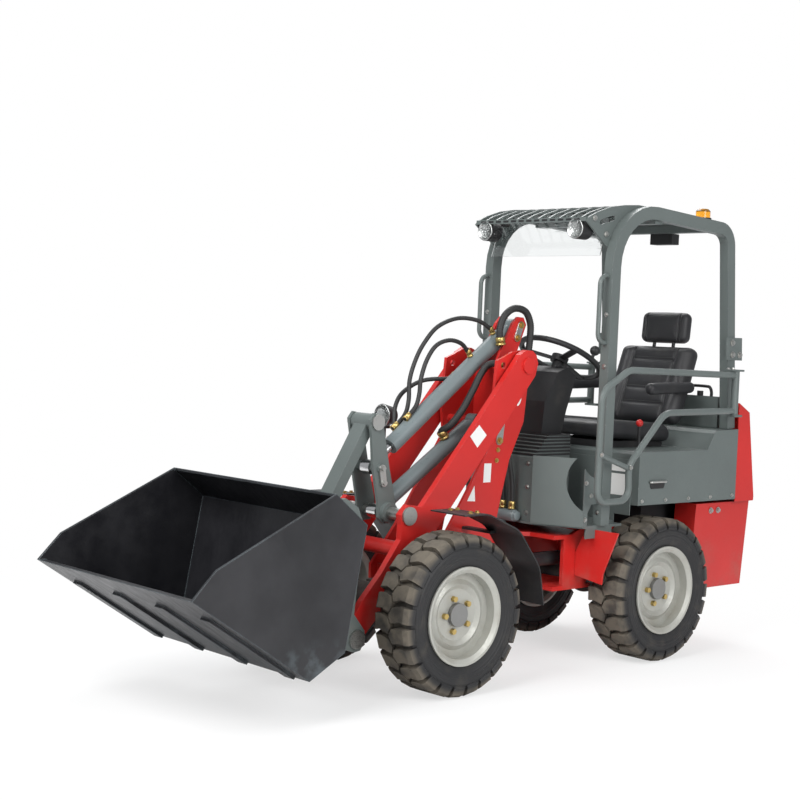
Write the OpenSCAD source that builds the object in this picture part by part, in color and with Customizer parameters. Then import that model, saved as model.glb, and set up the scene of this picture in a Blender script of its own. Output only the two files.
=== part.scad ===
// Small articulated yard loader with a bucket on a quick hitch, in millimetres.
// X points forward, Y to the loader's left, Z up from the ground.

/* [Machine] */
// distance between the axles
wheelbase = 1342; // [1240:1:1440]
// distance between the tyre centres of one axle
track = 820; // [780:1:880]
// play of a piece that turns or slides in another
fit = 0.3; // [0.2:0.05:0.5]
// distance of the articulation pin behind the middle of the wheelbase
pivot_back = 60; // [50:1:70]

/* [Wheels] */
// tyre radius out to the tips of the lugs
tyre_r = 343; // [330:1:350]
// width of the tyre
tyre_w = 216; // [190:1:226]
// radius of the rim flange
rim_r = 205; // [195:1:212]
// number of wheel nuts
nut_count = 5; // [4:1:8]
// radius of the nut circle
nut_circle = 72; // [66:1:80]
// radius of the axle tube
axle_r = 55; // [45:1:58]

/* [Front frame] */
// half distance over the tower plates
tower_half = 173; // [165:1:176]
// thickness of a tower plate
tower_t = 16; // [12:1:20]
// height of the arm pin above the ground
arm_pin_z = 1390; // [1380:1:1400]
// radius of the lifting eye holes
eye_hole_r = 15; // [12:0.5:18]

/* [Lift arm] */
// length from the arm pin to the hitch pin
arm_len = 1525; // [1510:1:1535]
// slope of the lowered arm below the horizon
arm_drop = 49; // [48:0.5:50]
// thickness of an arm plate
arm_t = 30; // [24:1:32]
// gap between a tower plate and an arm plate
arm_gap = 12; // [8:1:14]
// depth of an arm plate at its middle
arm_depth = 138; // [120:1:150]
// radius of the arm pin
arm_pin_r = 25; // [20:1:30]
// length of the tilt lever between its pins
lever_len = 400; // [390:1:410]

/* [Cylinders] */
// outside radius of the tilt cylinder
tilt_r = 38; // [34:1:40]
// outside radius of the lift cylinder
lift_r = 36; // [32:1:38]
// radius of the chromed rods
rod_r = 20; // [16:1:22]
// radius of the cylinder pins
cyl_pin_r = 15; // [12:1:18]
// half width of the cylinder eyes
eye_half = 28; // [24:1:29]

/* [Bucket] */
// width over the side plates
bucket_w = 1100; // [1000:1:1140]
// thickness of the bucket's sheet
bucket_t = 10; // [8:1:12]
// thickness of the cutting edge
edge_t = 18; // [14:1:20]
// how far the bucket is rolled back
curl = 32.7; // [31:0.1:34]

/* [Rear frame] */
// half width over the chassis plates between the wheels
chassis_half = 270; // [255:1:280]
// half width of the hood
hood_half = 430; // [415:1:440]
// thickness of the hood and bonnet sheet
sheet = 6; // [4:1:8]
// height of the seat deck
deck_z = 1000; // [990:1:1010]
// half width of the counterweight
weight_half = 400; // [385:1:415]
// radius of the tow pin hole
tow_hole_r = 14; // [12:0.5:18]

/* [Cab] */
// height of the cab floor
floor_z = 660; // [655:1:668]
// half width of the cab floor
floor_half = 386; // [376:1:392]
// width of a guard post seen from the side
post_w = 60; // [50:1:64]
// width of a guard post seen from the front
post_t = 50; // [40:1:54]
// radius of the gate and rail tubes
rail_r = 16; // [13:1:18]
// distance of the gate and rail tubes outside the cab floor
gate_out = 84; // [74:1:99]
// radius of the steering wheel
wheel_r = 200; // [180:1:215]

/* [Hidden] */
front_x = wheelbase / 2;
rear_x = -wheelbase / 2;
wheel_y = track / 2;
axle_z = tyre_r;
hub_r = 50;
spin = 0.5;
lap = 0.05;
pivot_x = -pivot_back;
tower_in = tower_half - tower_t;
floor_rear = -530;
arch_front = rear_x + 201;
bonnet_hinge = [-1325, 1244];
hinge_r = 7;
rear_end = -1475;

arm_x = 40;
arm_in = tower_half + arm_gap;
arm_out = arm_in + arm_t;
along = [cos(arm_drop), -sin(arm_drop)];
across = [sin(arm_drop), cos(arm_drop)];
arm_pin = [arm_x, arm_pin_z];
hitch_pin = on_arm(arm_len, 0);
lever_pivot = on_arm(957, 103);
lever_top = lever_pivot + lever_len * [cos(78.9), sin(78.9)];
lever_mid = lever_pivot + 199 * [cos(76.3), sin(76.3)];
link_foot = hitch_pin + lever_top - lever_pivot;
tilt_base = [arm_x - 100, arm_pin_z + 182];
lift_base = [arm_x + 120, arm_pin_z - 264];
lever_in = 62;
lever_t = 14;
link_half = 40;
lever_pin_r = 25;
link_pin_r = 20;
hitch_pin_r = 25;
hitch_in = arm_out + 7;
hitch_t = 20;

steer_z = 480;
steer_base = [-420, 160];
steer_tip = [95, 160];
steer_ear = 38;

heel = [385, -314];
lip = [1040, -314];
lip_top = [1010, -171];
back_top = [686, 337];
back_high = [480, 318];
back_low = [291, -144];
back_dir = (back_high - back_low) / norm(back_high - back_low);

gate_path = [[-1207, 1374], [-372, 1388], [-184, 1286], [-182, 776], [-410, 780], [-398, 942],
    [-652, 1188], [-1207, 1196]];
gate_bends = [0, 120, 90, 60, 60, 90, 120, 0];

post_x = -320;
lamp_x = front_x - 241;
post_y = floor_half - 1;
post_in = post_y - post_t / 2;
gate_y = floor_half + gate_out;
visor_half = post_in - 10;
light_y = post_in - 70;
beacon_y = post_in - 30;
box_half = post_in - 30;
wheel_hub = [-416, 1427];
wheel_lean = 28;

lip_x = hitch_pin[0] + lip[0] * cos(curl) - lip[1] * sin(curl);
row_x = -(lip_x + rear_end) / 2;

$fn = 48;

function on_arm(s, n) = arm_pin + s * along + n * across;
function heading(a, b) = atan2(b[1] - a[1], b[0] - a[0]);
function on_back(t, back) = back_low + t * back_dir - back * [back_dir[1], -back_dir[0]];
function left_of(d) = [-d[1], d[0]];
function dir_of(a, b) = (b - a) / norm(b - a);
function turn_at(a, b, c) = acos(min(1, max(-1, dir_of(a, b) * dir_of(b, c))));
function swings_left(a, b, c) = dir_of(a, b)[0] * dir_of(b, c)[1] > dir_of(a, b)[1] * dir_of(b, c)[0];

// points of a bent line, each bend cut into short steps
function bent(points, bends, steps = 8) = [for (i = [0 : len(points) - 1])
    for (p = bends[i] == 0 ? [points[i]]
        : bend_at(points[i - 1], points[i], points[i + 1], bends[i], steps)) p];
function bend_at(a, b, c, r, steps) = let (
    d = dir_of(a, b),
    t = turn_at(a, b, c),
    left = swings_left(a, b, c) ? 1 : -1,
    hub = b - d * r * tan(t / 2) + left_of(d) * left * r,
    from = heading([0, 0], -left_of(d) * left))
    [for (k = [0 : steps]) hub + r * [cos(from + left * k * t / steps), sin(from + left * k * t / steps)]];
// outline of a strip of one width along a bent line
function edge_way(line, i) = let (
    last = len(line) - 1,
    m = left_of(dir_of(line[max(0, i - 1)], line[max(1, i)])),
    n = left_of(dir_of(line[min(last - 1, i)], line[min(last, i + 1)])))
    (m + n) / (1 + m * n);
function strip(line, w) = concat(
    [for (i = [0 : len(line) - 1]) line[i] + w / 2 * edge_way(line, i)],
    [for (i = [len(line) - 1 : -1 : 0]) line[i] - w / 2 * edge_way(line, i)]);
function unit(v) = v / norm(v);
function at_y(line, y) = [for (p = line) [p[0], y, p[1]]];

// places a piece drawn from the middle of the wheelbase
module in_place() {
    translate([row_x, 0, 0]) children();
}

// places a piece drawn from the hitch pin with the bucket floor level
module in_bucket() {
    translate([hitch_pin[0], 0, hitch_pin[1]]) rotate([0, -curl, 0]) children();
}

module both_sides() {
    children();
    mirror([0, 1, 0]) children();
}

module box(x0, x1, y0, y1, z0, z1) {
    translate([x0, y0, z0]) cube([x1 - x0, y1 - y0, z1 - z0]);
}

// plate cut to an outline in the side view
module side_plate(points, y0, y1) {
    translate([0, y1, 0]) rotate([90, 0, 0]) linear_extrude(height = y1 - y0) polygon(points);
}

// plate cut to an outline in the top view
module flat_plate(points, z0, z1) {
    translate([0, 0, z0]) linear_extrude(height = z1 - z0) polygon(points);
}

module pin_y(c, y0, y1, r) {
    translate([c[0], y0, c[1]]) rotate([-90, 0, 0]) cylinder(h = y1 - y0, r = r);
}

module pin_z(c, z0, z1, r) {
    translate([c[0], c[1], z0]) cylinder(h = z1 - z0, r = r);
}

// round bar in the plane y = 0 along the line a to b, from s0 to s1
module rod_on(a, b, s0, s1, r) {
    translate([a[0], 0, a[1]]) rotate([0, 90 - heading(a, b), 0]) translate([0, 0, s0])
        cylinder(h = s1 - s0, r = r);
}

// sweeps a flat profile along a bent line in the side view
module sweep_side(points, bends, y, closed = false) {
    n = len(points);
    last = closed ? n - 1 : n - 2;
    for (i = [0 : last]) {
        a = points[i];
        b = points[(i + 1) % n];
        d = dir_of(a, b);
        ta = bends[i] == 0 ? 0 : turn_at(points[(i + n - 1) % n], a, b);
        tb = bends[(i + 1) % n] == 0 ? 0 : turn_at(a, b, points[(i + 2) % n]);
        cut_a = bends[i] * tan(ta / 2);
        cut_b = bends[(i + 1) % n] * tan(tb / 2);
        lap_a = ta > 0 ? lap : 0;
        lap_b = tb > 0 ? lap : 0;
        translate([a[0] + d[0] * (cut_a - lap_a), y, a[1] + d[1] * (cut_a - lap_a)])
            rotate([0, 90 - heading(a, b), 0])
                linear_extrude(height = norm(b - a) - cut_a - cut_b + lap_a + lap_b) children();
        if (tb > 0) {
            c = points[(i + 2) % n];
            left = swings_left(a, b, c) ? 1 : -1;
            hub = b - d * cut_b + left_of(d) * left * bends[(i + 1) % n];
            out = -left_of(d) * left;
            from = atan2(out[1], out[0]) - (left > 0 ? 0 : tb);
            translate([hub[0], y, hub[1]]) rotate([90, 0, 0]) rotate([0, 0, from])
                rotate_extrude(angle = tb) translate([bends[(i + 1) % n], 0]) children();
        }
    }
}

module tube(points, bends, y, r, closed = false) {
    sweep_side(points, bends, y, closed) circle(r = r, $fn = 12);
}

// round bar or hose through a row of points that stays clear of the direction of its side
module bar_through(points, r, side = [0, 1, 0], sides = 10) {
    n = len(points);
    polyhedron(
        points = [for (i = [0 : n - 1]) let (
            d = unit(points[min(n - 1, i + 1)] - points[max(0, i - 1)]),
            u = unit(cross(d, side)),
            v = cross(d, u))
            for (k = [0 : sides - 1]) points[i] + r * (cos(k * 360 / sides) * u + sin(k * 360 / sides) * v)],
        faces = concat([[for (k = [0 : sides - 1]) k]],
            [for (i = [0 : n - 2]) for (k = [0 : sides - 1]) [i * sides + (k + 1) % sides, i * sides + k,
                (i + 1) * sides + k, (i + 1) * sides + (k + 1) % sides]],
            [[for (k = [sides - 1 : -1 : 0]) (n - 1) * sides + k]]));
}

module rear_chassis() {
    color("firebrick") in_place() difference() {
        union() {
            both_sides() side_plate([[-200, 365], [-200, 585], [-330, 636], [-1076, 636],
                [-1076, 430], [-420, 430], [-360, 365]], chassis_half - 20, chassis_half);
            for (z = [345, 585]) {
                flat_plate([[-130, -chassis_half], [-130, chassis_half], [-400, chassis_half],
                    [-400, -chassis_half]], z, z + 20);
                flat_plate([[pivot_x, -75], [-150, -130], [-150, 130], [pivot_x, 75]], z, z + 20);
                pin_z([pivot_x, 0], z, z + 20, 75);
            }
            pin_z([pivot_x, 0], 345, 612, 30);
            box(-1076, -760, -chassis_half + 20, chassis_half - 20, 430, 445);
            box(-760, -744, -chassis_half + 20, chassis_half - 20, 430, 600);
            for (z = [steer_z - 40, steer_z + eye_half + fit])
                box(-455, -385, steer_base[1] - steer_ear, chassis_half - 20, z, z + 12 - fit);
            pin_z(steer_base, steer_z - 40, steer_z + 40, cyl_pin_r);
        }
    }
}

module counterweight() {
    color("firebrick") in_place() difference() {
        side_plate([[-1030, 728], [rear_end, 728], [rear_end + 45, 300], [-1000, 300]],
            -weight_half, weight_half);
        pin_y([rear_x, axle_z], -weight_half - 1, weight_half + 1, tyre_r + 62);
        box(-1395, -900, -chassis_half - fit, chassis_half + fit, 430 - fit, 740);
        box(rear_end - 1, -1392, -70, 70, 395, 455);
        pin_z([-1425, 0], 290, 520, tow_hole_r);
    }
}

module axle_body(x) {
    pin_y([x, axle_z], -290, 290, axle_r);
    translate([x, 0, axle_z]) sphere(r = 84);
    both_sides() {
        pin_y([x, axle_z], 288, wheel_y + 12, 92);
        pin_y([x, axle_z], wheel_y, wheel_y + 62, hub_r);
    }
}

module rear_axle() {
    color("dimgray") in_place() union() {
        axle_body(rear_x);
        both_sides() box(rear_x - 60, rear_x + 60, chassis_half - 22, chassis_half + 2, axle_z, 430);
    }
}

module engine_block() {
    color("dimgray") in_place() box(-1290, -860, -190, 190, 445 + fit, 900);
}

module hood() {
    inner = sheet;
    color("slategray") in_place() difference() {
        side_plate([[-530, 745], [-530, deck_z - 15], [-548, deck_z], [-1060, deck_z],
            [-1110, 1080], [-1130, 1095], [-1310, 1100], [-1310, 745]], -hood_half, hood_half);
        side_plate([[-530 - inner, 740], [-530 - inner, deck_z - 15 - inner],
            [-548 - inner, deck_z - inner], [-1060 + 3, deck_z - inner],
            [-1110 + 3, 1080 - inner], [-1130 + 2, 1095 - inner], [-1320, 1100 - inner],
            [-1320, 740]], -hood_half + inner, hood_half - inner);
    }
}

module cab_floor() {
    rear = floor_rear + fit;
    inside = chassis_half + 20;
    front = [[-84, -158], [-84, 158], [-195, floor_half], [arch_front, floor_half], [arch_front, inside],
        [rear, inside], [rear, -inside], [arch_front, -inside], [arch_front, -floor_half],
        [-195, -floor_half]];
    color("dimgray") in_place() union() {
        flat_plate(front, floor_z - 12, floor_z);
        both_sides() {
            box(arch_front + 70, -215, floor_half - 8, floor_half, floor_z - 60, floor_z);
            box(-520, -500, chassis_half - 20, inside, 636 + fit, floor_z);
            foot_panel();
        }
        box(rear, rear + 6, -inside, inside, floor_z - 12, deck_z - 40);
        box(rear, rear + 6, -floor_half, floor_half, axle_z + tyre_r + 8, deck_z - 40);
    }
}

// swept panel in front of the pedals
module foot_panel() {
    run = norm([-195 + 84, floor_half - 158]);
    translate([-84, 158, floor_z - 6]) rotate([0, 0, atan2(floor_half - 158, -195 + 84)])
        rotate([90, 0, 0]) linear_extrude(height = 6) difference() {
            polygon([[0, 0], [run, 0], [run, 60], [run - 20, 300], [run - 40, 318], [0, 318]]);
            translate([run + 62, 210]) circle(r = 150);
        }
}

module cowl() {
    color("dimgray") in_place() difference() {
        side_plate([[-92, floor_z + fit], [-92, 960], [-190, 1060], [-345, 1060],
            [-345, floor_z + fit]], -152, 152);
        side_plate([[-98, floor_z - 5], [-98, 956], [-194, 1054], [-350, 1054],
            [-350, floor_z - 5]], -146, 146);
    }
}

module steering_column() {
    top = wheel_hub - 46 * [-sin(wheel_lean), cos(wheel_lean)];
    color("black") in_place() union() {
        difference() {
            side_plate([[-200, 1060 + fit], [-215, 1220], [-300, 1360], [-372, 1385],
                [-432, 1340], [-372, 1180], [-340, 1060 + fit]], -95, 95);
        }
        rod_on(top - 60 * [-sin(wheel_lean), cos(wheel_lean)], wheel_hub, 0, 60 + 20, 26);
    }
}

module steering_wheel() {
    color("black") in_place() translate([wheel_hub[0], 0, wheel_hub[1]]) rotate([0, -wheel_lean, 0])
        union() {
            rotate_extrude() translate([wheel_r, 0]) circle(r = 14);
            for (a = [0, 120, 240]) rotate([0, 0, a + 60]) translate([0, -16, -14])
                cube([wheel_r - 4, 32, 8]);
            translate([0, 0, -26 + fit]) cylinder(h = 32, r = 42);
            translate([0, wheel_r, 10]) cylinder(h = 40, r = 8);
            translate([0, wheel_r, 48]) sphere(r = 24);
        }
}

module seat_base() {
    color("black") in_place() box(-1000, -570, -190, 190, deck_z + fit, deck_z + 32);
}

module seat_cushion() {
    color("black") in_place() side_plate([[-545, deck_z + 50], [-535, deck_z + 75],
        [-560, deck_z + 112], [-640, deck_z + 116], [-1000, deck_z + 96], [-1020, deck_z + 80],
        [-1010, deck_z + 32 + fit], [-570, deck_z + 32 + fit]], -240, 240);
}

module seat_back() {
    color("black") in_place() union() {
        side_plate([[-1004, deck_z + 100], [-1030, deck_z + 130], [-1165, deck_z + 500],
            [-1175, deck_z + 515], [-1255, deck_z + 500], [-1262, deck_z + 480],
            [-1130, deck_z + 96], [-1110, deck_z + 90 + fit], [-1024, deck_z + 90]], -235, 235);
        side_plate([[-1190, deck_z + 520], [-1205, deck_z + 670], [-1220, deck_z + 685],
            [-1285, deck_z + 680], [-1295, deck_z + 665], [-1275, deck_z + 520]], -130, 130);
        both_sides() pin_y([-1225, deck_z + 505], 55, 70, 24);
        both_sides() {
            side_plate([[-770, deck_z + 265], [-760, deck_z + 290], [-780, deck_z + 318],
                [-1120, deck_z + 330], [-1120, deck_z + 280]], 240, 300);
            pin_y([-1105, deck_z + 305], 230, 245, 25);
        }
    }
}

module rops_frame() {
    path = [[post_x, floor_z + fit], [post_x, 2150], [-1195, 2097], [-1275, 1102 + fit]];
    color("slategray") in_place() union() {
        both_sides() {
            side_plate(strip(bent(path, [0, 270, 90, 0]), post_w), post_y - post_t / 2,
                post_y + post_t / 2);
            box(-1250, -1185, post_y + post_t / 2 - 4, gate_y + 20, 1393 + fit, 1403);
            box(-1250, -1185, post_y + post_t / 2 - 4, gate_y + 20, 1166, 1177 - fit);
        }
        both_sides() pin_z([-1207, gate_y], 1365, 1398, 9);
        both_sides() pin_z([-1207, gate_y], 1170, 1212, 9);
        for (x = [-640, -1150])
            box(x - 25, x + 25, -post_y, post_y, 2085, 2125);
    }
}

module roof() {
    color("gray") in_place() difference() {
        box(-1160, -560, -post_in + fit, post_in - fit, 2126, 2138);
    }
}

module visor() {
    color("lightblue") in_place() side_plate([[-268, 1912], [-264, 1912], [-330, 2120],
        [-560 + fit, 2138], [-560 + fit, 2132], [-334, 2114]], -visor_half, visor_half);
}

function visor_x(z) = -264 - (z - 1912) * 66 / 208;

module work_lights() {
    color("black") in_place() union() {
        both_sides() translate([-225, light_y, 2030]) rotate([0, 90, 0]) cylinder(h = 70, r = 48);
        both_sides() side_plate([[visor_x(2060) + fit, 2060], [-200, 2060], [-200, 2076],
            [visor_x(2076) + fit, 2076]], light_y - 10, light_y + 10);
        box(-1215, -1155, -70, 70, 2030, 2085 - fit);
    }
}

module beacon() {
    color("orange") in_place() union() {
        translate([-1060, beacon_y, 2138 + fit]) cylinder(h = 12, r = 42);
        translate([-1060, beacon_y, 2150]) cylinder(h = 34, r = 36);
        translate([-1060, beacon_y, 2184]) cylinder(h = 10, r1 = 36, r2 = 26);
    }
}

module gate_frame(y) {
    tube(gate_path, gate_bends, y, rail_r);
    pin_z([-1207, y], 1177, 1393, rail_r + 3);
    tube([[-183, 1000], [-402, 930]], [0, 0], y, rail_r - 3);
}

module side_gate() {
    color("slategray") in_place() difference() {
        gate_frame(gate_y);
        pin_z([-1207, gate_y], 1360, 1400, 9 + fit);
        pin_z([-1207, gate_y], 1170, 1216, 9 + fit);
    }
}

module handrails() {
    color("slategray") in_place() union() {
        difference() {
            mirror([0, 1, 0]) gate_frame(gate_y);
            pin_z([-1207, -gate_y], 1360, 1400, 9 + fit);
            pin_z([-1207, -gate_y], 1170, 1216, 9 + fit);
        }
        both_sides() bar_through(at_y(bent([[post_x + post_w / 2 + fit, 1510], [-236, 1510],
            [-236, 1820], [post_x + post_w / 2 + fit, 1820]], [0, 44, 44, 0]), post_y), 11);
        box(post_x + post_w / 2 + fit, -240, -gate_y, -post_y + 12, 1290, 1310);
    }
}

module control_box() {
    color("black") in_place() union() {
        box(-1310, -1262, -box_half, box_half, 1100 + fit, 1258);
        for (y = [-200, -80, 60, 200])
            translate([-1286, y, 1257]) cylinder(h = 26, r = 16);
        both_sides() {
            box(bonnet_hinge[0] - 14, -1309, box_half - 30, box_half - 14, 1235, 1258);
            pin_y(bonnet_hinge, box_half - 90, box_half - 14, hinge_r);
        }
    }
}

module controls() {
    color("black") in_place() union() {
        for (y = [-260, -310]) {
            translate([-660, y, deck_z + fit]) cylinder(h = 190, r = 8);
            translate([-660, y, deck_z + 200]) sphere(r = 24);
        }
        translate([-640, 330, deck_z + fit]) cylinder(h = 120, r = 8);
        translate([-640, 330, deck_z + 130]) sphere(r = 18);
        for (y = [-235, 200])
            box(-330, -250, y, y + 70, floor_z + fit, floor_z + 40);
    }
}

module rear_bonnet() {
    half = hood_half;
    seam = -1310 - fit;
    color("firebrick") in_place() difference() {
        union() {
            difference() {
                side_plate([[seam, 1232], [-1400, 1184], [rear_end + 4, 752], [rear_end + 6, 731],
                    [seam, 731]], -half, half);
                side_plate([[-1300, 1232 - sheet - 6], [-1396, 1184 - sheet],
                    [rear_end + 4 + sheet, 752], [rear_end + 4 + sheet, 720], [-1300, 720]],
                    -half + sheet, half - sheet);
            }
            both_sides() {
                pin_y(bonnet_hinge, box_half - 90, box_half - 30 - fit, hinge_r + 6);
                box(bonnet_hinge[0] - 6, bonnet_hinge[0] + 6, box_half - 90, box_half - 30 - fit, 1218,
                    bonnet_hinge[1]);
            }
        }
        both_sides() pin_y(bonnet_hinge, box_half - 100, box_half - 20, hinge_r + fit);
    }
}

module front_chassis() {
    tower = [[arm_x - 58, arm_pin_z + 20], [arm_x - 30, arm_pin_z - 260], [94, 957], [141, 776],
        [187, 573], [187, 430], [260, 404], [620, 404], [620, 470], [480, 640], [330, 860],
        [200, 1060], [arm_x + 178, 1180], [arm_x + 160, arm_pin_z + 20], [arm_x + 120, arm_pin_z + 35],
        [arm_x + 60, arm_pin_z + 62], [arm_x, arm_pin_z + 70], [arm_x - 45, arm_pin_z + 52]];
    neck = [[tilt_base[0] - 40, tilt_base[1] + 6], [tilt_base[0] - 20, tilt_base[1] + 40],
        [tilt_base[0] + 20, tilt_base[1] + 42], [tilt_base[0] + 52, tilt_base[1] + 10],
        [arm_x + 40, arm_pin_z + 30], [arm_x + 60, arm_pin_z - 20], [arm_x - 50, arm_pin_z - 20]];
    web = tower_in - fit;
    color("firebrick") in_place() union() {
        both_sides() difference() {
            union() {
                side_plate(tower, tower_in, tower_half);
                pin_y(arm_pin, tower_in, arm_out + 8, arm_pin_r);
                pin_y(arm_pin, arm_out + fit, arm_out + 10, arm_pin_r + 12);
                pin_y(lift_base, eye_half + fit, tower_half + 4, cyl_pin_r + 6);
                pin_y(lift_base, fit, 40, cyl_pin_r);
            }
            pin_y([arm_x + 120, arm_pin_z - 2], tower_half - 30, tower_half + 10, eye_hole_r);
        }
        difference() {
            union() {
                both_sides() side_plate(neck, tilt_r + 8, tilt_r + 22);
                box(arm_x - 46, arm_x - 30, -web, web, arm_pin_z - 250, arm_pin_z + 10);
                box(187, 203, -web, web, 404, 600);
                box(203, front_x - 86, -web, web, 404, 424);
                box(front_x - 102, front_x - 86, -web, web, 404, 470);
                box(-30, 200, -60, 60, 365 + spin, 585 - spin);
                pin_z([pivot_x, 0], 365 + spin, 585 - spin, 62);
                for (z = [steer_z - 40, steer_z + eye_half + fit]) {
                    box(62, 190, steer_tip[1] - steer_ear, web, z, z + 12 - fit);
                    box(62, 187 - fit, web - 1, steer_tip[1] + steer_ear, z, z + 12 - fit);
                }
                pin_z(steer_tip, steer_z + eye_half + fit, steer_z + 40, cyl_pin_r);
                pin_z(steer_tip, steer_z - 40, steer_z - eye_half - fit, cyl_pin_r);
                pin_y(tilt_base, -tilt_r - 26, tilt_r + 26, cyl_pin_r);
                both_sides() pin_y(tilt_base, eye_half + fit, tilt_r + 12, cyl_pin_r + 10);
            }
            pin_z([pivot_x, 0], 300, 700, 30 + fit);
        }
    }
}

module front_axle() {
    color("dimgray") in_place() union() {
        axle_body(front_x);
        both_sides() box(front_x - 130, front_x - 20, 110, 150, axle_z, 404);
    }
}

module front_fenders() {
    path = [[front_x + 34, 768], [front_x - 108, 768], [front_x - 300, 690], [front_x - 440, 520],
        [front_x - 476, 350]];
    color("black") in_place() both_sides() union() {
        side_plate(strip(bent(path, [0, 90, 140, 140, 0]), 6), wheel_y - tyre_w / 2 + 3,
            wheel_y + tyre_w / 2 - 3);
        box(front_x - 330, front_x - 290, tower_half + fit, wheel_y - 60, 655, 667);
    }
}

// a point just above the sloping part of the fender
function fender_on(x) = [x, 690 + (x - front_x + 300) * 78 / 192 + 3.3 + fit];

module headlamp() {
    color("black") in_place() union() {
        translate([lamp_x - 30, -300, 1130]) rotate([0, 90, 0]) cylinder(h = 60, r1 = 40, r2 = 55);
        translate([lamp_x, -320, fender_on(lamp_x)[1] + 4]) cylinder(h = 360, r = 10);
        side_plate([fender_on(lamp_x - 30), fender_on(lamp_x + 40), fender_on(lamp_x + 40) + [0, 8],
            fender_on(lamp_x - 30) + [0, 8]], -345, -308);
        box(lamp_x - 10, lamp_x + 10, -330, -290, 1070, 1095);
    }
}

module lift_arm() {
    h = arm_depth / 2;
    shape = [on_arm(-70, 25), on_arm(-45, 58), on_arm(0, 74), on_arm(60, 72), on_arm(500, h),
        on_arm(880, h), on_arm(925, 140), on_arm(985, 145), on_arm(1010, 110), on_arm(1060, h),
        on_arm(1230, h - 12), on_arm(1380, 62), on_arm(arm_len + 20, 45), on_arm(arm_len + 48, 15),
        on_arm(arm_len + 48, -20), on_arm(arm_len + 20, -45), on_arm(arm_len - 60, -50),
        on_arm(1230, -h + 6), on_arm(880, -h), on_arm(100, -h), on_arm(0, -68), on_arm(-52, -42),
        on_arm(-72, -8)];
    color("firebrick") in_place() difference() {
        union() {
            both_sides() side_plate(shape, arm_in, arm_out);
            pin_y(on_arm(1045, -42), -arm_in - 2, arm_in + 2, 34);
        }
        both_sides() pin_y(arm_pin, arm_in - 1, arm_out + 1, arm_pin_r + fit);
        both_sides() pin_y(lever_pivot, arm_in - 1, arm_out + 1, lever_pin_r + fit);
        both_sides() pin_y(hitch_pin, arm_in - 1, arm_out + 1, hitch_pin_r + fit);
    }
}

module lever_pins() {
    color("silver") in_place() both_sides() union() {
        pin_y(lever_pivot, eye_half + 4, arm_out + 6, lever_pin_r);
        pin_y(lever_pivot, arm_out + fit, arm_out + 10, lever_pin_r + 15);
    }
}

module tilt_lever() {
    shape = [lever_pivot + [-50, -10], lever_pivot + [-46, 40], lever_mid + [-50, 0],
        lever_top + [-38, -20], lever_top + [-30, 30], lever_top + [20, 40], lever_top + [44, 10],
        lever_top + [30, -60], lever_mid + [48, 20], lever_pivot + [56, 40], lever_pivot + [52, -20],
        lever_pivot + [20, -50], lever_pivot + [-25, -46]];
    color("slategray") in_place() difference() {
        union() {
            both_sides() side_plate(shape, lever_in, lever_in + lever_t);
            both_sides() pin_y(lever_pivot, lever_in, lever_in + 34, 44);
            both_sides() pin_y(lever_mid, eye_half + fit, lever_in + lever_t + 6, cyl_pin_r + 8);
        }
        both_sides() pin_y(lever_pivot, 0, 200, lever_pin_r + fit);
        both_sides() pin_y(lever_top, 0, 200, link_pin_r + fit);
    }
}

module link_pin() {
    color("silver") in_place() union() {
        pin_y(lever_top, -lever_in - lever_t - 6, lever_in + lever_t + 6, link_pin_r);
        both_sides() pin_y(lever_top, lever_in + lever_t + fit, lever_in + lever_t + 10, link_pin_r + 14);
    }
}

module tilt_link() {
    color("slategray") in_place() difference() {
        union() {
            rod_box(lever_top, link_foot, 40, norm(link_foot - lever_top) - 30);
            pin_y(lever_top, -lever_in + 2, lever_in - 2, 36);
            pin_y(link_foot, -link_half, link_half, 34);
        }
        pin_y(lever_top, -100, 100, link_pin_r + fit);
        pin_y(link_foot, -100, 100, link_pin_r + fit);
    }
}

// square bar on the line a to b
module rod_box(a, b, s0, s1) {
    translate([a[0], 0, a[1]]) rotate([0, 90 - heading(a, b), 0])
        translate([-25, -link_half, s0 - 20]) cube([50, 2 * link_half, s1 - s0 + 20]);
}

module hitch_pins() {
    color("silver") in_place() union() {
        pin_y(hitch_pin, -hitch_in - hitch_t - 8, hitch_in + hitch_t + 8, hitch_pin_r);
        both_sides() pin_y(hitch_pin, hitch_in + hitch_t + fit, hitch_in + hitch_t + 10, hitch_pin_r + 15);
        both_sides() pin_y(hitch_pin, arm_in - 40, arm_in - fit, hitch_pin_r + 20);
    }
}

module quick_hitch() {
    foot = lever_top - lever_pivot;
    c = cos(curl);
    s = sin(curl);
    f = [foot[0] * c + foot[1] * s, foot[1] * c - foot[0] * s];
    side = [[-48, -28], [-20, -52], [60, -70], on_back(24, fit), on_back(480, fit), [452, 400],
        [390, 452], [310, 455], [240, 410], [70, 80], [-20, 52], [-48, 24]];
    ear = [f + [-34, -26], f + [-38, 20], f + [-10, 40], f + [60, 20], [430, 262], on_back(380, 8),
        on_back(300, 8), f + [60, -60], f + [0, -42]];
    color("slategray") in_place() in_bucket() difference() {
        union() {
            both_sides() side_plate(side, hitch_in, hitch_in + hitch_t);
            both_sides() side_plate(ear, link_half + fit, link_half + 18);
            pin_y(on_back(360, 46), -hitch_in - 2, hitch_in + 2, 38);
            pin_y(on_back(60, 46), -hitch_in - 2, hitch_in + 2, 38);
            pin_y(f, -link_half - 22, link_half + 22, link_pin_r);
        }
        both_sides() pin_y([0, 0], hitch_in - 1, hitch_in + hitch_t + 1, hitch_pin_r + fit);
    }
}

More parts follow.
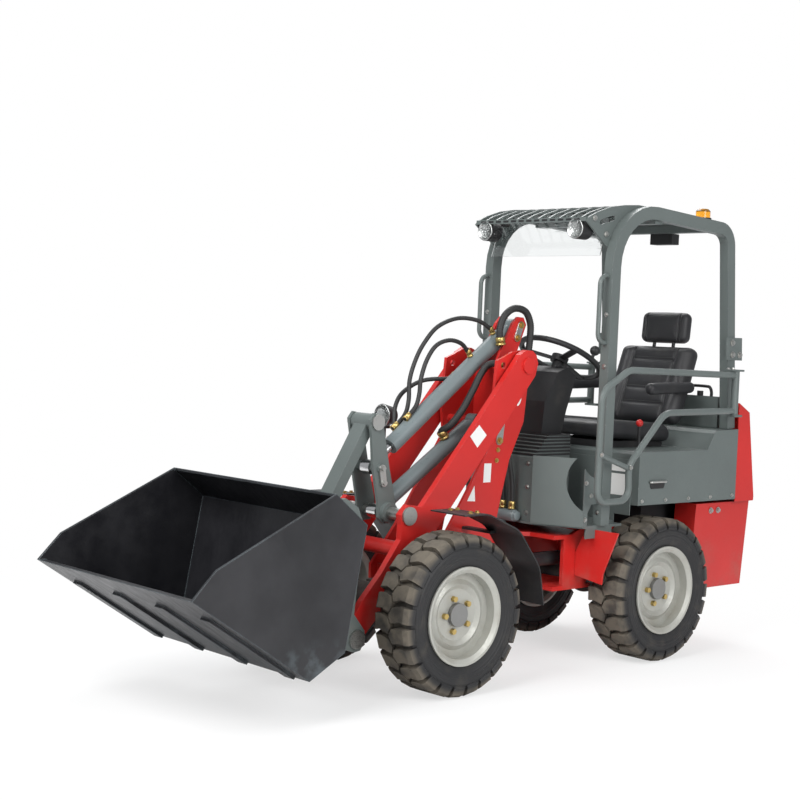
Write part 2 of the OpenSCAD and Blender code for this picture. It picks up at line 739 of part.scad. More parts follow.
module bucket() {
    half = bucket_w / 2;
    t = bucket_t;
    outer = [heel, lip, lip + [-20, t], heel + [6, t], back_low + [12, 2], back_high + [10, -8],
        back_top + [-4, -10], back_top, back_high, back_low];
    side = [heel, lip, lip_top, back_top, back_high, back_low];
    color("black") in_place() in_bucket() union() {
        side_plate(outer, -half, half);
        both_sides() side_plate(side, half - t, half);
        side_plate([lip, lip + [-150, 0], lip + [-150, edge_t], lip + [-30, edge_t]], -half, half);
        for (y = [-480, -180, 120, 420])
            box(400, 880, y, y + 60, heel[1] - 12, heel[1]);
    }
}

module barrel(a, b, s0, s1, r, bore) {
    difference() {
        union() {
            rod_on(a, b, s0, s1, r);
            pin_y(a, -eye_half, eye_half, cyl_pin_r + 17);
            rod_on(a, b, 10, s0 + 10, eye_half - 6);
        }
        pin_y(a, -100, 100, cyl_pin_r + fit);
        rod_on(a, b, s0 + 40, s1 + 10, bore);
    }
}

module rod(a, b, s0, r) {
    rod_on(a, b, s0, norm(b - a) - 20, r);
    difference() {
        pin_y(b, -eye_half, eye_half, cyl_pin_r + 17);
        pin_y(b, -100, 100, cyl_pin_r);
    }
}

module lift_barrel() {
    color("gray") in_place() barrel(lift_base, lever_pivot, 45, 610, lift_r, rod_r + fit);
}

module lift_rod() {
    color("silver") in_place() rod(lift_base, lever_pivot, 130, rod_r);
}

module tilt_barrel() {
    color("lightgray") in_place() barrel(tilt_base, lever_mid, 50, 925, tilt_r, rod_r + fit);
}

module tilt_rod() {
    color("silver") in_place() rod(tilt_base, lever_mid, 420, rod_r);
}

module steer_barrel() {
    color("gray") in_place() laid_flat() barrel(steer_base, steer_tip, 45, 330, 32, rod_r - 4 + fit);
}

// lays a piece drawn in the side view flat at the height of the steering cylinder
module laid_flat() {
    translate([0, 0, steer_z]) rotate([-90, 0, 0]) children();
}

module steer_rod() {
    color("silver") in_place() laid_flat() rod(steer_base, steer_tip, 205, rod_r - 4);
}

module tyre_body(x, side) {
    w = tyre_w / 2;
    translate([x, side * wheel_y, axle_z]) rotate([-90, 0, 0]) rotate_extrude($fn = 96)
        polygon([[rim_r - 14, -w + 24], [rim_r + 6, -w + 18], [rim_r + 50, -w + 2],
            [tyre_r - 50, -w], [tyre_r - 12, -w + 14], [tyre_r, -w + 40], [tyre_r, w - 40],
            [tyre_r - 12, w - 14], [tyre_r - 50, w], [rim_r + 50, w - 2], [rim_r + 6, w - 18],
            [rim_r - 14, w - 24]]);
}

module rim_body(x, side) {
    w = tyre_w / 2;
    g = rim_r - 14 - fit;
    translate([x, side * wheel_y, axle_z]) rotate([side > 0 ? -90 : 90, 0, 0]) difference() {
        union() {
            rotate_extrude($fn = 96) polygon([[g, -w + 24], [rim_r + 5, -w + 17], [rim_r + 5, -w + 8],
                [rim_r - 6, -w + 8], [g - 9, -w + 20], [g - 9, 30], [hub_r + fit, 30],
                [hub_r + fit, 42], [110, 42], [130, 56], [150, 44], [g - 9, 44], [g - 9, w - 20],
                [rim_r - 6, w - 8], [rim_r + 5, w - 8], [rim_r + 5, w - 17], [g, w - 24]]);
            for (a = [0 : nut_count - 1]) rotate([0, 0, a * 360 / nut_count])
                translate([nut_circle, 0, 40]) cylinder(h = 20, r = 13, $fn = 6);
        }
    }
}

module tyre_fl() {
    color("black") in_place() tyre_body(front_x, 1);
}

module tyre_fr() {
    color("black") in_place() tyre_body(front_x, -1);
}

module tyre_rl() {
    color("black") in_place() tyre_body(rear_x, 1);
}

module tyre_rr() {
    color("black") in_place() tyre_body(rear_x, -1);
}

module rim_fl() {
    color("silver") in_place() rim_body(front_x, 1);
}

module rim_fr() {
    color("silver") in_place() rim_body(front_x, -1);
}

module rim_rl() {
    color("silver") in_place() rim_body(rear_x, 1);
}

module rim_rr() {
    color("silver") in_place() rim_body(rear_x, -1);
}

rear_chassis();
counterweight();
rear_axle();
engine_block();
hood();
cab_floor();
cowl();
steering_column();
seat_base();
seat_cushion();
seat_back();
rops_frame();
roof();
visor();
work_lights();
beacon();
handrails();
control_box();
controls();
front_chassis();
front_axle();
front_fenders();
headlamp();
lift_arm();
lever_pins();
tilt_lever();
link_pin();
tilt_link();
hitch_pins();
quick_hitch();
bucket();
lift_barrel();
lift_rod();
tilt_barrel();
tilt_rod();
steer_barrel();
steer_rod();
tyre_fl();
rim_fl();
tyre_fr();
rim_fr();
tyre_rl();
rim_rl();
tyre_rr();
rim_rr();
side_gate();
rear_bonnet();
steering_wheel();
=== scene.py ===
import math
import bpy
import bmesh
from mathutils import Matrix, Vector
from mathutils.bvhtree import BVHTree


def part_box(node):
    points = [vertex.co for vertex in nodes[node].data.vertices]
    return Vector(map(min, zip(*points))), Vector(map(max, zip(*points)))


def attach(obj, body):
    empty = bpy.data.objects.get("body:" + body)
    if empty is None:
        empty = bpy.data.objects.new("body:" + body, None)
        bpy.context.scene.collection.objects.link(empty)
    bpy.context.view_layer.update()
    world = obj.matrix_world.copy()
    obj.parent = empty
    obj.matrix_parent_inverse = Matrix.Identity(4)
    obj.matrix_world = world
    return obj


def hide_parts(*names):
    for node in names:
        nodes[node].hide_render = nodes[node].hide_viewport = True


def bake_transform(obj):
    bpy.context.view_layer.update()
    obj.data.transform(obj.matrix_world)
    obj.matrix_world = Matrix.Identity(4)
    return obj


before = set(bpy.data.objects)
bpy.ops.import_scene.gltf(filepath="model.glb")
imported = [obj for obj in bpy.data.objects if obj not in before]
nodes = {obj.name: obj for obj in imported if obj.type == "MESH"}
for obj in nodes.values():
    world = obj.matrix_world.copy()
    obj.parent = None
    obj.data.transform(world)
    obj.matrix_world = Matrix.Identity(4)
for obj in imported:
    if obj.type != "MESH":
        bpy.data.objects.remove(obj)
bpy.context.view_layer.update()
scene = bpy.context.scene
scene.view_settings.view_transform = "Standard"
print("frame loaded,", len(nodes), "nodes")


# kit for node trees: an input takes a value, or a link from another socket
def setInputs(tree, node, inputs):
    for label, value in inputs.items():
        if isinstance(value, bpy.types.NodeSocket):
            tree.links.new(value, node.inputs[label])
        else:
            node.inputs[label].default_value = value


def addNode(tree, kind, inputs=None, **settings):
    node = tree.nodes.new(kind)
    for label, value in settings.items():
        setattr(node, label, value)
    setInputs(tree, node, inputs or {})
    return node


def newSurface(name, colour, rough, metal=0.0, specular=0.5):
    material = bpy.data.materials.new(name)
    material.use_nodes = True
    tree = material.node_tree
    shader = tree.nodes["Principled BSDF"]
    setInputs(tree, shader, {"Base Color": (*colour, 1), "Roughness": rough, "Metallic": metal,
                             "Specular IOR Level": specular})
    return material, tree, shader


def objectCoords(tree, scale=(1, 1, 1)):
    coords = addNode(tree, "ShaderNodeTexCoord")
    mapping = addNode(tree, "ShaderNodeMapping", {"Vector": coords.outputs["Object"], "Scale": scale})
    return mapping.outputs["Vector"]


def noiseAt(tree, coords, scale, detail=4.0):
    return addNode(tree, "ShaderNodeTexNoise", {"Vector": coords, "Scale": scale, "Detail": detail,
                                                "Roughness": 0.55}).outputs["Fac"]


def ramp(tree, value, low, high, lowValue=0.0, highValue=1.0):
    return addNode(tree, "ShaderNodeMapRange", {"Value": value, "From Min": low, "From Max": high,
                                                "To Min": lowValue, "To Max": highValue},
                   interpolation_type="SMOOTHSTEP").outputs["Result"]


def combine(tree, operation, first, second):
    return addNode(tree, "ShaderNodeMath", {0: first, 1: second}, operation=operation).outputs[0]


def blendColours(tree, factor, first, second):
    first, second = ((*c, 1) if isinstance(c, tuple) else c for c in (first, second))
    mix = addNode(tree, "ShaderNodeMix", {"Factor": factor, 6: first, 7: second}, data_type="RGBA")
    return mix.outputs[2]


def bumpFrom(tree, shader, height, strength, distance):
    bump = addNode(tree, "ShaderNodeBump", {"Height": height, "Strength": strength, "Distance": distance})
    setInputs(tree, shader, {"Normal": bump.outputs["Normal"]})
    return bump


# share of an edge at each place, and the normal with that edge rounded
def edgeMask(tree, radius):
    bevel = addNode(tree, "ShaderNodeBevel", {"Radius": radius}, samples=4)
    plain = addNode(tree, "ShaderNodeNewGeometry")
    dot = addNode(tree, "ShaderNodeVectorMath", {0: bevel.outputs["Normal"], 1: plain.outputs["Normal"]},
                  operation="DOT_PRODUCT")
    return ramp(tree, dot.outputs["Value"], 0.995, 0.9), bevel.outputs["Normal"]


def heightMask(tree, low, high):
    coords = addNode(tree, "ShaderNodeTexCoord")
    split = addNode(tree, "ShaderNodeSeparateXYZ", {0: coords.outputs["Object"]})
    return ramp(tree, split.outputs["Z"], high, low)


# camera, from the photograph's viewing angle
camera = {"place": (4.8659, 4.971, 1.515), "yaw": -132.421, "pitch": -2.508, "roll": 2.392, "lens": 68.636}


def placeCamera(c):
    data = bpy.data.cameras.new("photoCamera")
    data.sensor_width = 36
    data.lens = c["lens"]
    data.clip_end = 200
    obj = bpy.data.objects.new("photoCamera", data)
    scene.collection.objects.link(obj)
    turn = (Matrix.Rotation(math.radians(c["yaw"] - 90), 4, "Z")
            @ Matrix.Rotation(math.radians(90 + c["pitch"]), 4, "X")
            @ Matrix.Rotation(math.radians(c["roll"]), 4, "Z"))
    obj.matrix_world = Matrix.Translation(c["place"]) @ turn
    scene.camera = obj


placeCamera(camera)

# studio: pale floor, soft lamps, white behind
studio = {"skyColour": (0.95, 0.97, 1, 1), "skyStrength": 0.5, "floorColour": (0.86, 0.86, 0.86),
          "floorRadius": 60, "fadeStart": 0.8, "fadeEnd": 3.2, "nearGlow": 0.62, "aim": (0, 0, 0.8),
          "lamps": {"keyLamp": {"place": (4.5, 1.0, 4.6), "size": 3.2, "watts": 330},
                    "fillLamp": {"place": (0.4, 5.2, 2.8), "size": 3.0, "watts": 170},
                    "topLamp": {"place": (-2.4, -2.0, 5.0), "size": 3.6, "watts": 200}}}
white = (1, 1, 1, 1)


def addSky(s):
    world = bpy.data.worlds.new("studioWorld")
    scene.world = world
    world.use_nodes = True
    tree = world.node_tree
    tree.nodes.clear()
    soft = addNode(tree, "ShaderNodeBackground", {"Color": s["skyColour"], "Strength": s["skyStrength"]})
    plain = addNode(tree, "ShaderNodeBackground", {"Color": white, "Strength": 1})
    path = addNode(tree, "ShaderNodeLightPath").outputs
    seen = combine(tree, "MAXIMUM", path["Is Camera Ray"], path["Is Transmission Ray"])
    mix = addNode(tree, "ShaderNodeMixShader", {0: seen, 1: soft.outputs[0], 2: plain.outputs[0]})
    addNode(tree, "ShaderNodeOutputWorld", {"Surface": mix.outputs[0]})


def addLamp(name, lamp, aim):
    data = bpy.data.lights.new(name, "AREA")
    data.size = lamp["size"]
    data.energy = lamp["watts"]
    obj = bpy.data.objects.new(name, data)
    scene.collection.objects.link(obj)
    obj.location = lamp["place"]
    obj.rotation_euler = (Vector(aim) - Vector(lamp["place"])).to_track_quat("-Z", "Y").to_euler()


# wide disc of paper that fades to white away from the loader
def addFloor(s):
    mesh = bpy.data.meshes.new("studioFloor")
    bm = bmesh.new()
    bmesh.ops.create_circle(bm, cap_ends=True, radius=s["floorRadius"], segments=96)
    bm.to_mesh(mesh)
    bm.free()
    floor = bpy.data.objects.new("studioFloor", mesh)
    scene.collection.objects.link(floor)
    material, tree, paper = newSurface("studioPaper", s["floorColour"], 0.9, 0, 0.1)
    glow = addNode(tree, "ShaderNodeEmission", {"Color": white, "Strength": 1})
    coords = addNode(tree, "ShaderNodeTexCoord")
    away = addNode(tree, "ShaderNodeVectorMath", {0: coords.outputs["Object"]}, operation="LENGTH")
    fade = ramp(tree, away.outputs["Value"], s["fadeStart"], s["fadeEnd"], s["nearGlow"], 1)
    path = addNode(tree, "ShaderNodeLightPath").outputs
    share = combine(tree, "MULTIPLY", fade, path["Is Camera Ray"])
    mix = addNode(tree, "ShaderNodeMixShader", {0: share, 1: paper.outputs[0], 2: glow.outputs[0]})
    setInputs(tree, tree.nodes["Material Output"], {"Surface": mix.outputs[0]})
    mesh.materials.append(material)


addSky(studio)
for name, lamp in studio["lamps"].items():
    addLamp(name, lamp, studio["aim"])
addFloor(studio)
print("camera, lamps and floor placed")

paints = {
    "red": {"colour": (0.53, 0.019, 0.016), "rough": 0.34},
    "slate": {"colour": (0.115, 0.135, 0.13), "rough": 0.4},
    "lightGrey": {"colour": (0.15, 0.18, 0.185), "rough": 0.32},
    "frameBlack": {"colour": (0.016, 0.016, 0.018), "rough": 0.45},
    "dust": (0.2, 0.17, 0.135),
    # grey for worn edge chips, also laid on as a painted edge highlight
    "chipAndHighlightGrey": (0.26, 0.27, 0.28),
}


def paintSurface(name, colour, rough):
    material, tree, shader = newSurface(name, colour, rough, 0, 0.36)
    coords = objectCoords(tree)
    cloud = noiseAt(tree, coords, 2.4, 3)
    speck = noiseAt(tree, coords, 60, 5)
    shade = blendColours(tree, ramp(tree, cloud, 0.35, 0.7), tuple(c * 0.9 for c in colour), colour)
    dirt = combine(tree, "MULTIPLY", heightMask(tree, 0.25, 0.75),
                   ramp(tree, noiseAt(tree, coords, 9, 6), 0.42, 0.72, 0, 0.26))
    shade = blendColours(tree, dirt, shade, paints["dust"])
    edge, rounded = edgeMask(tree, 0.003)
    # lighter grey along the edges: worn chips, and also a painted highlight on the edges
    chipsAndEdgeHighlight = combine(tree, "MULTIPLY", edge, ramp(tree, speck, 0.6, 0.68))
    shade = blendColours(tree, chipsAndEdgeHighlight, shade, paints["chipAndHighlightGrey"])
    matt = combine(tree, "ADD", ramp(tree, speck, 0.3, 0.8, rough - 0.05, rough + 0.12), dirt)
    peel = bumpFrom(tree, shader, noiseAt(tree, coords, 320, 2), 0.08, 0.001)
    setInputs(tree, peel, {"Normal": rounded})
    setInputs(tree, shader, {"Base Color": shade, "Roughness": matt, "Coat Weight": 0.12,
                             "Coat Roughness": 0.2})
    return material


redPaint = paintSurface("redPaint", **paints["red"])
slatePaint = paintSurface("slatePaint", **paints["slate"])
cylinderPaint = paintSurface("cylinderPaint", **paints["lightGrey"])
blackPaint = paintSurface("blackPaint", **paints["frameBlack"])


def bucketSurface():
    material, tree, shader = newSurface("bucketSteel", (0.012, 0.012, 0.014), 0.42, 0, 0.4)
    coords = objectCoords(tree)
    drag = noiseAt(tree, objectCoords(tree, (4, 40, 4)), 3, 6)
    cloud = noiseAt(tree, coords, 3.5, 4)
    shade = blendColours(tree, ramp(tree, cloud, 0.3, 0.75), (0.006, 0.006, 0.008), (0.02, 0.02, 0.023))
    edge, rounded = edgeMask(tree, 0.006)
    rubbed = combine(tree, "MULTIPLY", edge, ramp(tree, cloud, 0.25, 0.6))
    scraped = combine(tree, "MULTIPLY", heightMask(tree, 0.24, 0.36), ramp(tree, drag, 0.45, 0.68, 0, 0.55))
    worn = combine(tree, "MAXIMUM", rubbed, scraped)
    setInputs(tree, shader, {"Base Color": blendColours(tree, worn, shade, (0.09, 0.112, 0.122)),
                             "Roughness": ramp(tree, drag, 0.3, 0.75, 0.34, 0.52)})
    dent = bumpFrom(tree, shader, noiseAt(tree, coords, 26, 3), 0.06, 0.004)
    setInputs(tree, dent, {"Normal": rounded})
    return material


# rubber with dust on the tread and moulded rings on the sidewall, by the distance from the axle
def tyreSurface(name, axle):
    material, tree, shader = newSurface(name, (0.022, 0.021, 0.021), 0.68, 0, 0.35)
    coords = objectCoords(tree)
    dustAll = noiseAt(tree, coords, 14, 6)
    fine = noiseAt(tree, coords, 180, 4)
    wheel = addNode(tree, "ShaderNodeMapping", {"Vector": coords, "Location": (-axle.x, 0, -axle.z),
                                                "Scale": (1, 0, 1)})
    reach = addNode(tree, "ShaderNodeVectorMath", {0: wheel.outputs["Vector"]}, operation="LENGTH")
    out = reach.outputs["Value"]
    tread = ramp(tree, out, 0.302, 0.33)
    dust = combine(tree, "MULTIPLY", tread, ramp(tree, dustAll, 0.28, 0.62, 0.25, 1))
    film = combine(tree, "MAXIMUM", dust, ramp(tree, dustAll, 0.5, 0.8, 0, 0.22))
    shade = blendColours(tree, film, (0.016, 0.016, 0.017), (0.125, 0.108, 0.085))
    setInputs(tree, shader, {"Base Color": shade, "Roughness": ramp(tree, film, 0, 1, 0.55, 0.9)})
    rings = addNode(tree, "ShaderNodeMath", {0: combine(tree, "MULTIPLY", out, 420)}, operation="SINE")
    band = combine(tree, "MULTIPLY", ramp(tree, out, 0.235, 0.242), ramp(tree, out, 0.275, 0.268))
    relief = combine(tree, "ADD", combine(tree, "MULTIPLY", rings.outputs[0], band),
                     combine(tree, "MULTIPLY", fine, 0.6))
    bumpFrom(tree, shader, relief, 0.35, 0.002)
    return material


def silverSurface(name, clean, dusty):
    material, tree, shader = newSurface(name, clean, 0.42, 0.3)
    coords = objectCoords(tree)
    grain = noiseAt(tree, coords, 90, 5)
    dust = combine(tree, "MULTIPLY", ramp(tree, noiseAt(tree, coords, 8, 6), 0.42, 0.75), 0.5)
    setInputs(tree, shader, {"Base Color": blendColours(tree, dust, clean, dusty),
                             "Roughness": ramp(tree, grain, 0.3, 0.7, 0.36, 0.54)})
    rounded = edgeMask(tree, 0.003)[1]
    peel = bumpFrom(tree, shader, grain, 0.05, 0.001)
    setInputs(tree, peel, {"Normal": rounded})
    return material


def metalSurface(name, colour, rough, streak=(60, 60, 60)):
    material, tree, shader = newSurface(name, colour, rough, 1.0)
    lines = noiseAt(tree, objectCoords(tree, streak), 6, 6)
    grime = ramp(tree, noiseAt(tree, objectCoords(tree), 35, 5), 0.52, 0.75, 0, 0.5)
    setInputs(tree, shader, {"Base Color": blendColours(tree, grime, colour, tuple(c * 0.45 for c in colour)),
                             "Roughness": ramp(tree, lines, 0.3, 0.7, rough * 0.7, rough * 1.35)})
    bumpFrom(tree, shader, lines, 0.05, 0.0006)
    return material


def mouldedSurface(name, colour, rough, grainScale=520, relief=0.16):
    material, tree, shader = newSurface(name, colour, rough, 0, 0.4)
    coords = objectCoords(tree)
    grain = addNode(tree, "ShaderNodeTexVoronoi", {"Vector": coords, "Scale": grainScale})
    cloud = noiseAt(tree, coords, 7, 5)
    dust = ramp(tree, cloud, 0.5, 0.8, 0, 0.24)
    setInputs(tree, shader, {"Base Color": blendColours(tree, dust, colour, (0.11, 0.1, 0.088)),
                             "Roughness": ramp(tree, cloud, 0.3, 0.8, rough - 0.05, rough + 0.15)})
    bumpFrom(tree, shader, grain.outputs["Distance"], relief, 0.0008)
    return material


def clearSheet(name, colour, rough=0.03):
    material, tree, shader = newSurface(name, colour, rough)
    smear = noiseAt(tree, objectCoords(tree, (4, 4, 20)), 6, 5)
    setInputs(tree, shader, {"Transmission Weight": 1, "IOR": 1.49,
                             "Roughness": ramp(tree, smear, 0.45, 0.8, rough, rough + 0.16)})
    return material


bucketSteel = bucketSurface()
rimSilver = silverSurface("rimSilver", (0.4, 0.4, 0.365), (0.26, 0.24, 0.195))
hubGrey = silverSurface("hubGrey", (0.2, 0.2, 0.195), (0.16, 0.145, 0.12))
chromeRod = metalSurface("chromeRod", (0.62, 0.62, 0.62), 0.14, (8, 300, 8))
zincPlate = metalSurface("zincPlate", (0.5, 0.5, 0.48), 0.36)
yellowZinc = metalSurface("yellowZinc", (0.52, 0.38, 0.14), 0.36)
lampFace = metalSurface("lampFace", (0.5, 0.51, 0.5), 0.3)
mouldedBlack = mouldedSurface("mouldedBlack", (0.014, 0.014, 0.015), 0.5)
castIron = mouldedSurface("castIron", (0.035, 0.035, 0.037), 0.6)
seatLeather = mouldedSurface("seatLeather", (0.02, 0.02, 0.022), 0.46, 300, 0.22)
threadGrey = mouldedSurface("threadGrey", (0.09, 0.09, 0.09), 0.8)
hoseRubber = mouldedSurface("hoseRubber", (0.018, 0.018, 0.018), 0.52, 900, 0.1)
stickerWhite = mouldedSurface("stickerWhite", (0.72, 0.72, 0.7), 0.36, 60, 0.03)
visorSheet = clearSheet("visorSheet", (0.93, 0.95, 0.95))
amberLens = clearSheet("amberLens", (1.0, 0.42, 0.02), 0.12)
lampGlass = clearSheet("lampGlass", (0.9, 0.92, 0.93), 0.05)

corners = ("fl", "fr", "rl", "rr")
finishes = {
    "rear_chassis": redPaint, "counterweight": redPaint, "rear_bonnet": redPaint, "front_chassis": redPaint,
    "lift_arm": redPaint, "hood": slatePaint, "rops_frame": slatePaint, "handrails": slatePaint,
    "side_gate": slatePaint, "tilt_lever": slatePaint, "tilt_link": slatePaint, "quick_hitch": slatePaint,
    "lift_barrel": cylinderPaint, "tilt_barrel": cylinderPaint, "steer_barrel": blackPaint,
    "roof": slatePaint,
    "bucket": bucketSteel, "rear_axle": blackPaint, "front_axle": blackPaint, "engine_block": castIron,
    "cab_floor": slatePaint, "cowl": slatePaint, "steering_column": mouldedBlack,
    "steering_wheel": mouldedBlack,
    "seat_base": mouldedBlack, "seat_cushion": seatLeather, "seat_back": seatLeather, "visor": visorSheet,
    "work_lights": mouldedBlack, "beacon": amberLens, "control_box": slatePaint, "controls": mouldedBlack,
    "front_fenders": mouldedBlack, "headlamp": mouldedBlack, "lever_pins": zincPlate, "link_pin": zincPlate,
    "hitch_pins": zincPlate, "lift_rod": chromeRod, "tilt_rod": chromeRod, "steer_rod": chromeRod,
    **{"rim_" + corner: rimSilver for corner in corners},
}
for name, material in finishes.items():
    nodes[name].data.materials.clear()
    nodes[name].data.materials.append(material)


# second finish on the faces of a node that a test picks
def secondFinish(name, material, picks):
    node = nodes[name]
    node.data.materials.append(material)
    for face in node.data.polygons:
        if picks(node.matrix_world @ face.center):
            face.material_index = len(node.data.materials) - 1


def middleOf(name):
    low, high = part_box(name)
    return (low + high) / 2


nuts = {"inner": 0.055, "outer": 0.09, "face": 0.4535}
for corner in corners:
    hub = middleOf("tyre_" + corner)
    secondFinish("rim_" + corner, yellowZinc, lambda p: abs(p.y) > nuts["face"] and p.y * hub.y > 0
                 and nuts["inner"] < math.hypot(p.x - hub.x, p.z - hub.z) < nuts["outer"])
for name in ("front_axle", "rear_axle"):
    secondFinish(name, hubGrey, lambda p: abs(p.y) > 0.425)
secondFinish("beacon", mouldedBlack, lambda p: p.z < 2.1505)
secondFinish("control_box", mouldedBlack, lambda p: p.z > 1.2595)
secondFinish("controls", redPaint, lambda p: p.y > 0.25 and p.z > 1.11)
print("finishes set on the nodes")

# pieces are placed by millimetres from the middle of the wheelbase, which lies here in the frame
wheelbaseMiddle = -0.3051483465
outward = Vector((0, 1, 0))
forward = Vector((1, 0, 0))
upward = Vector((0, 0, 1))


def at(x, y, z):
    return Vector((x / 1000 + wheelbaseMiddle, y / 1000, z / 1000))


def mirrored(points, side):
    return [Vector((p.x, p.y * side, p.z)) for p in points]


def uprightRect(x, y0, y1, z0, z1):
    return [at(x, y0, z0), at(x, y1, z0), at(x, y1, z1), at(x, y0, z1)]


def levelRect(z, x0, x1, y0, y1):
    return [at(x0, y0, z), at(x1, y0, z), at(x1, y1, z), at(x0, y1, z)]


def newPiece(name, bm, material, body, smooth=True):
    bmesh.ops.remove_doubles(bm, verts=bm.verts, dist=1e-6)
    bmesh.ops.recalc_face_normals(bm, faces=bm.faces)
    mesh = bpy.data.meshes.new(name)
    bm.to_mesh(mesh)
    bm.free()
    mesh.materials.append(material)
    for face in mesh.polygons:
        face.use_smooth = smooth
    obj = bpy.data.objects.new(name, mesh)
    scene.collection.objects.link(obj)
    if body:
        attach(obj, body)
    return obj


# faces between two rings of points, where a ring of one point is a tip
def joinRings(bm, lower, upper):
    count = max(len(lower), len(upper))
    for k in range(count):
        j = k + 1
        ends = [lower[k % len(lower)], lower[j % len(lower)], upper[j % len(upper)], upper[k % len(upper)]]
        distinct = list(dict.fromkeys(ends))
        if len(distinct) > 2:
            bm.faces.new(distinct)


# turned shape: radius and height pairs in metres about a line
def addTurned(bm, profile, place, way, segments=24):
    turn = way.to_track_quat("Z", "Y").to_matrix()
    rings = []
    for radius, height in profile:
        angles = [k * math.tau / segments for k in range(segments if radius else 1)]
        points = [Vector((radius * math.cos(a), radius * math.sin(a), height)) for a in angles]
        rings.append([bm.verts.new(place + turn @ p) for p in points])
    for lower, upper in zip(rings, rings[1:]):
        joinRings(bm, lower, upper)


# flat plate with a rounded rim, its outline given as points on the face
def addPlate(bm, outline, face, thick, rim=0.0012):
    middle = sum(outline, Vector()) / len(outline)
    rows = [(0, 0), (thick - rim, 0), (thick, rim)]
    rings = [[bm.verts.new(p + face * up + (middle - p).normalized() * inset) for p in outline]
             for up, inset in rows]
    for lower, upper in zip(rings, rings[1:]):
        joinRings(bm, lower, upper)
    bm.faces.new(rings[-1])
    bm.faces.new(list(reversed(rings[0])))


def oblong(a, b, radius, y, steps=10):
    start = math.atan2(b[1] - a[1], b[0] - a[0])
    points = []
    for centre, turn in ((b, start - math.pi / 2), (a, start + math.pi / 2)):
        for k in range(steps + 1):
            angle = turn + k * math.pi / steps
            points.append(at(centre[0] + radius * math.cos(angle), y, centre[1] + radius * math.sin(angle)))
    return points


# repeats by Geometry Nodes: a shape on each point, turned to the point's lay
def scatterGroup(name, shape):
    tree = bpy.data.node_groups.new(name, "GeometryNodeTree")
    tree.is_modifier = True
    sockets = {}
    for label, kind in (("Geometry", "Geometry"), ("Head Radius", "Float"), ("Head Height", "Float"),
                        ("Turn Seed", "Int"), ("Finish", "Material"), ("Result", "Geometry")):
        way = "OUTPUT" if label == "Result" else "INPUT"
        socket = tree.interface.new_socket(label, in_out=way, socket_type="NodeSocket" + kind)
        sockets[label] = socket.identifier
    given = addNode(tree, "NodeGroupInput").outputs

    def ball(radius, segments, rings, scale):
        mesh = addNode(tree, "GeometryNodeMeshUVSphere", {"Radius": radius, "Segments": segments,
                                                          "Rings": rings})
        return addNode(tree, "GeometryNodeTransform", {"Geometry": mesh.outputs["Mesh"], "Scale": scale})

    def disc(radius, height, middle, sides):
        mesh = addNode(tree, "GeometryNodeMeshCylinder", {"Radius": radius, "Depth": height,
                                                          "Vertices": sides})
        up = addNode(tree, "ShaderNodeCombineXYZ", {"Z": middle})
        return addNode(tree, "GeometryNodeTransform", {"Geometry": mesh.outputs["Mesh"],
                                                       "Translation": up.outputs[0]})

    def times(value, factor):
        return combine(tree, "MULTIPLY", value, factor)

    radius, height = given["Head Radius"], given["Head Height"]
    if shape == "bolt":
        parts = [disc(radius, height, times(height, 0.65), 6),
                 disc(times(radius, 1.5), times(height, 0.3), times(height, 0.15), 16)]
    elif shape == "dot":
        parts = [ball(radius, 10, 6, (1, 1, 0.6))]
    else:
        parts = [ball(radius, 8, 5, (0.36, 0.36, 1))]
    joined = addNode(tree, "GeometryNodeJoinGeometry")
    for part in parts:
        setInputs(tree, joined, {"Geometry": part.outputs["Geometry"]})
    lay = addNode(tree, "GeometryNodeInputNamedAttribute", {"Name": "lay"}, data_type="FLOAT_VECTOR")
    size = addNode(tree, "GeometryNodeInputNamedAttribute", {"Name": "size"}, data_type="FLOAT")
    align = addNode(tree, "FunctionNodeAlignRotationToVector", {"Vector": lay.outputs["Attribute"]}, axis="Z")
    spin = addNode(tree, "FunctionNodeRandomValue", {"Min": (0, 0, 0), "Max": (0, 0, 6.283),
                                                     "Seed": given["Turn Seed"]}, data_type="FLOAT_VECTOR")
    euler = addNode(tree, "FunctionNodeEulerToRotation", {"Euler": spin.outputs["Value"]})
    turned = addNode(tree, "FunctionNodeRotateRotation", {"Rotation": align.outputs["Rotation"],
                                                          "Rotate By": euler.outputs["Rotation"]},
                     rotation_space="LOCAL")
    put = addNode(tree, "GeometryNodeInstanceOnPoints", {
        "Points": given["Geometry"], "Instance": joined.outputs["Geometry"],
        "Rotation": turned.outputs["Rotation"], "Scale": size.outputs["Attribute"]})
    real = addNode(tree, "GeometryNodeRealizeInstances", {"Geometry": put.outputs["Instances"]})
    paint = addNode(tree, "GeometryNodeSetMaterial", {"Geometry": real.outputs["Geometry"],
                                                      "Material": given["Finish"]})
    addNode(tree, "NodeGroupOutput", {"Result": paint.outputs["Geometry"]})
    return tree, sockets


groups = {shape: scatterGroup(shape + "Rows", shape) for shape in ("bolt", "dot", "stitch")}


# the object's mesh with its modifiers worked in
def bakedMesh(obj):
    bpy.context.view_layer.update()
    return bpy.data.meshes.new_from_object(obj.evaluated_get(bpy.context.evaluated_depsgraph_get()))


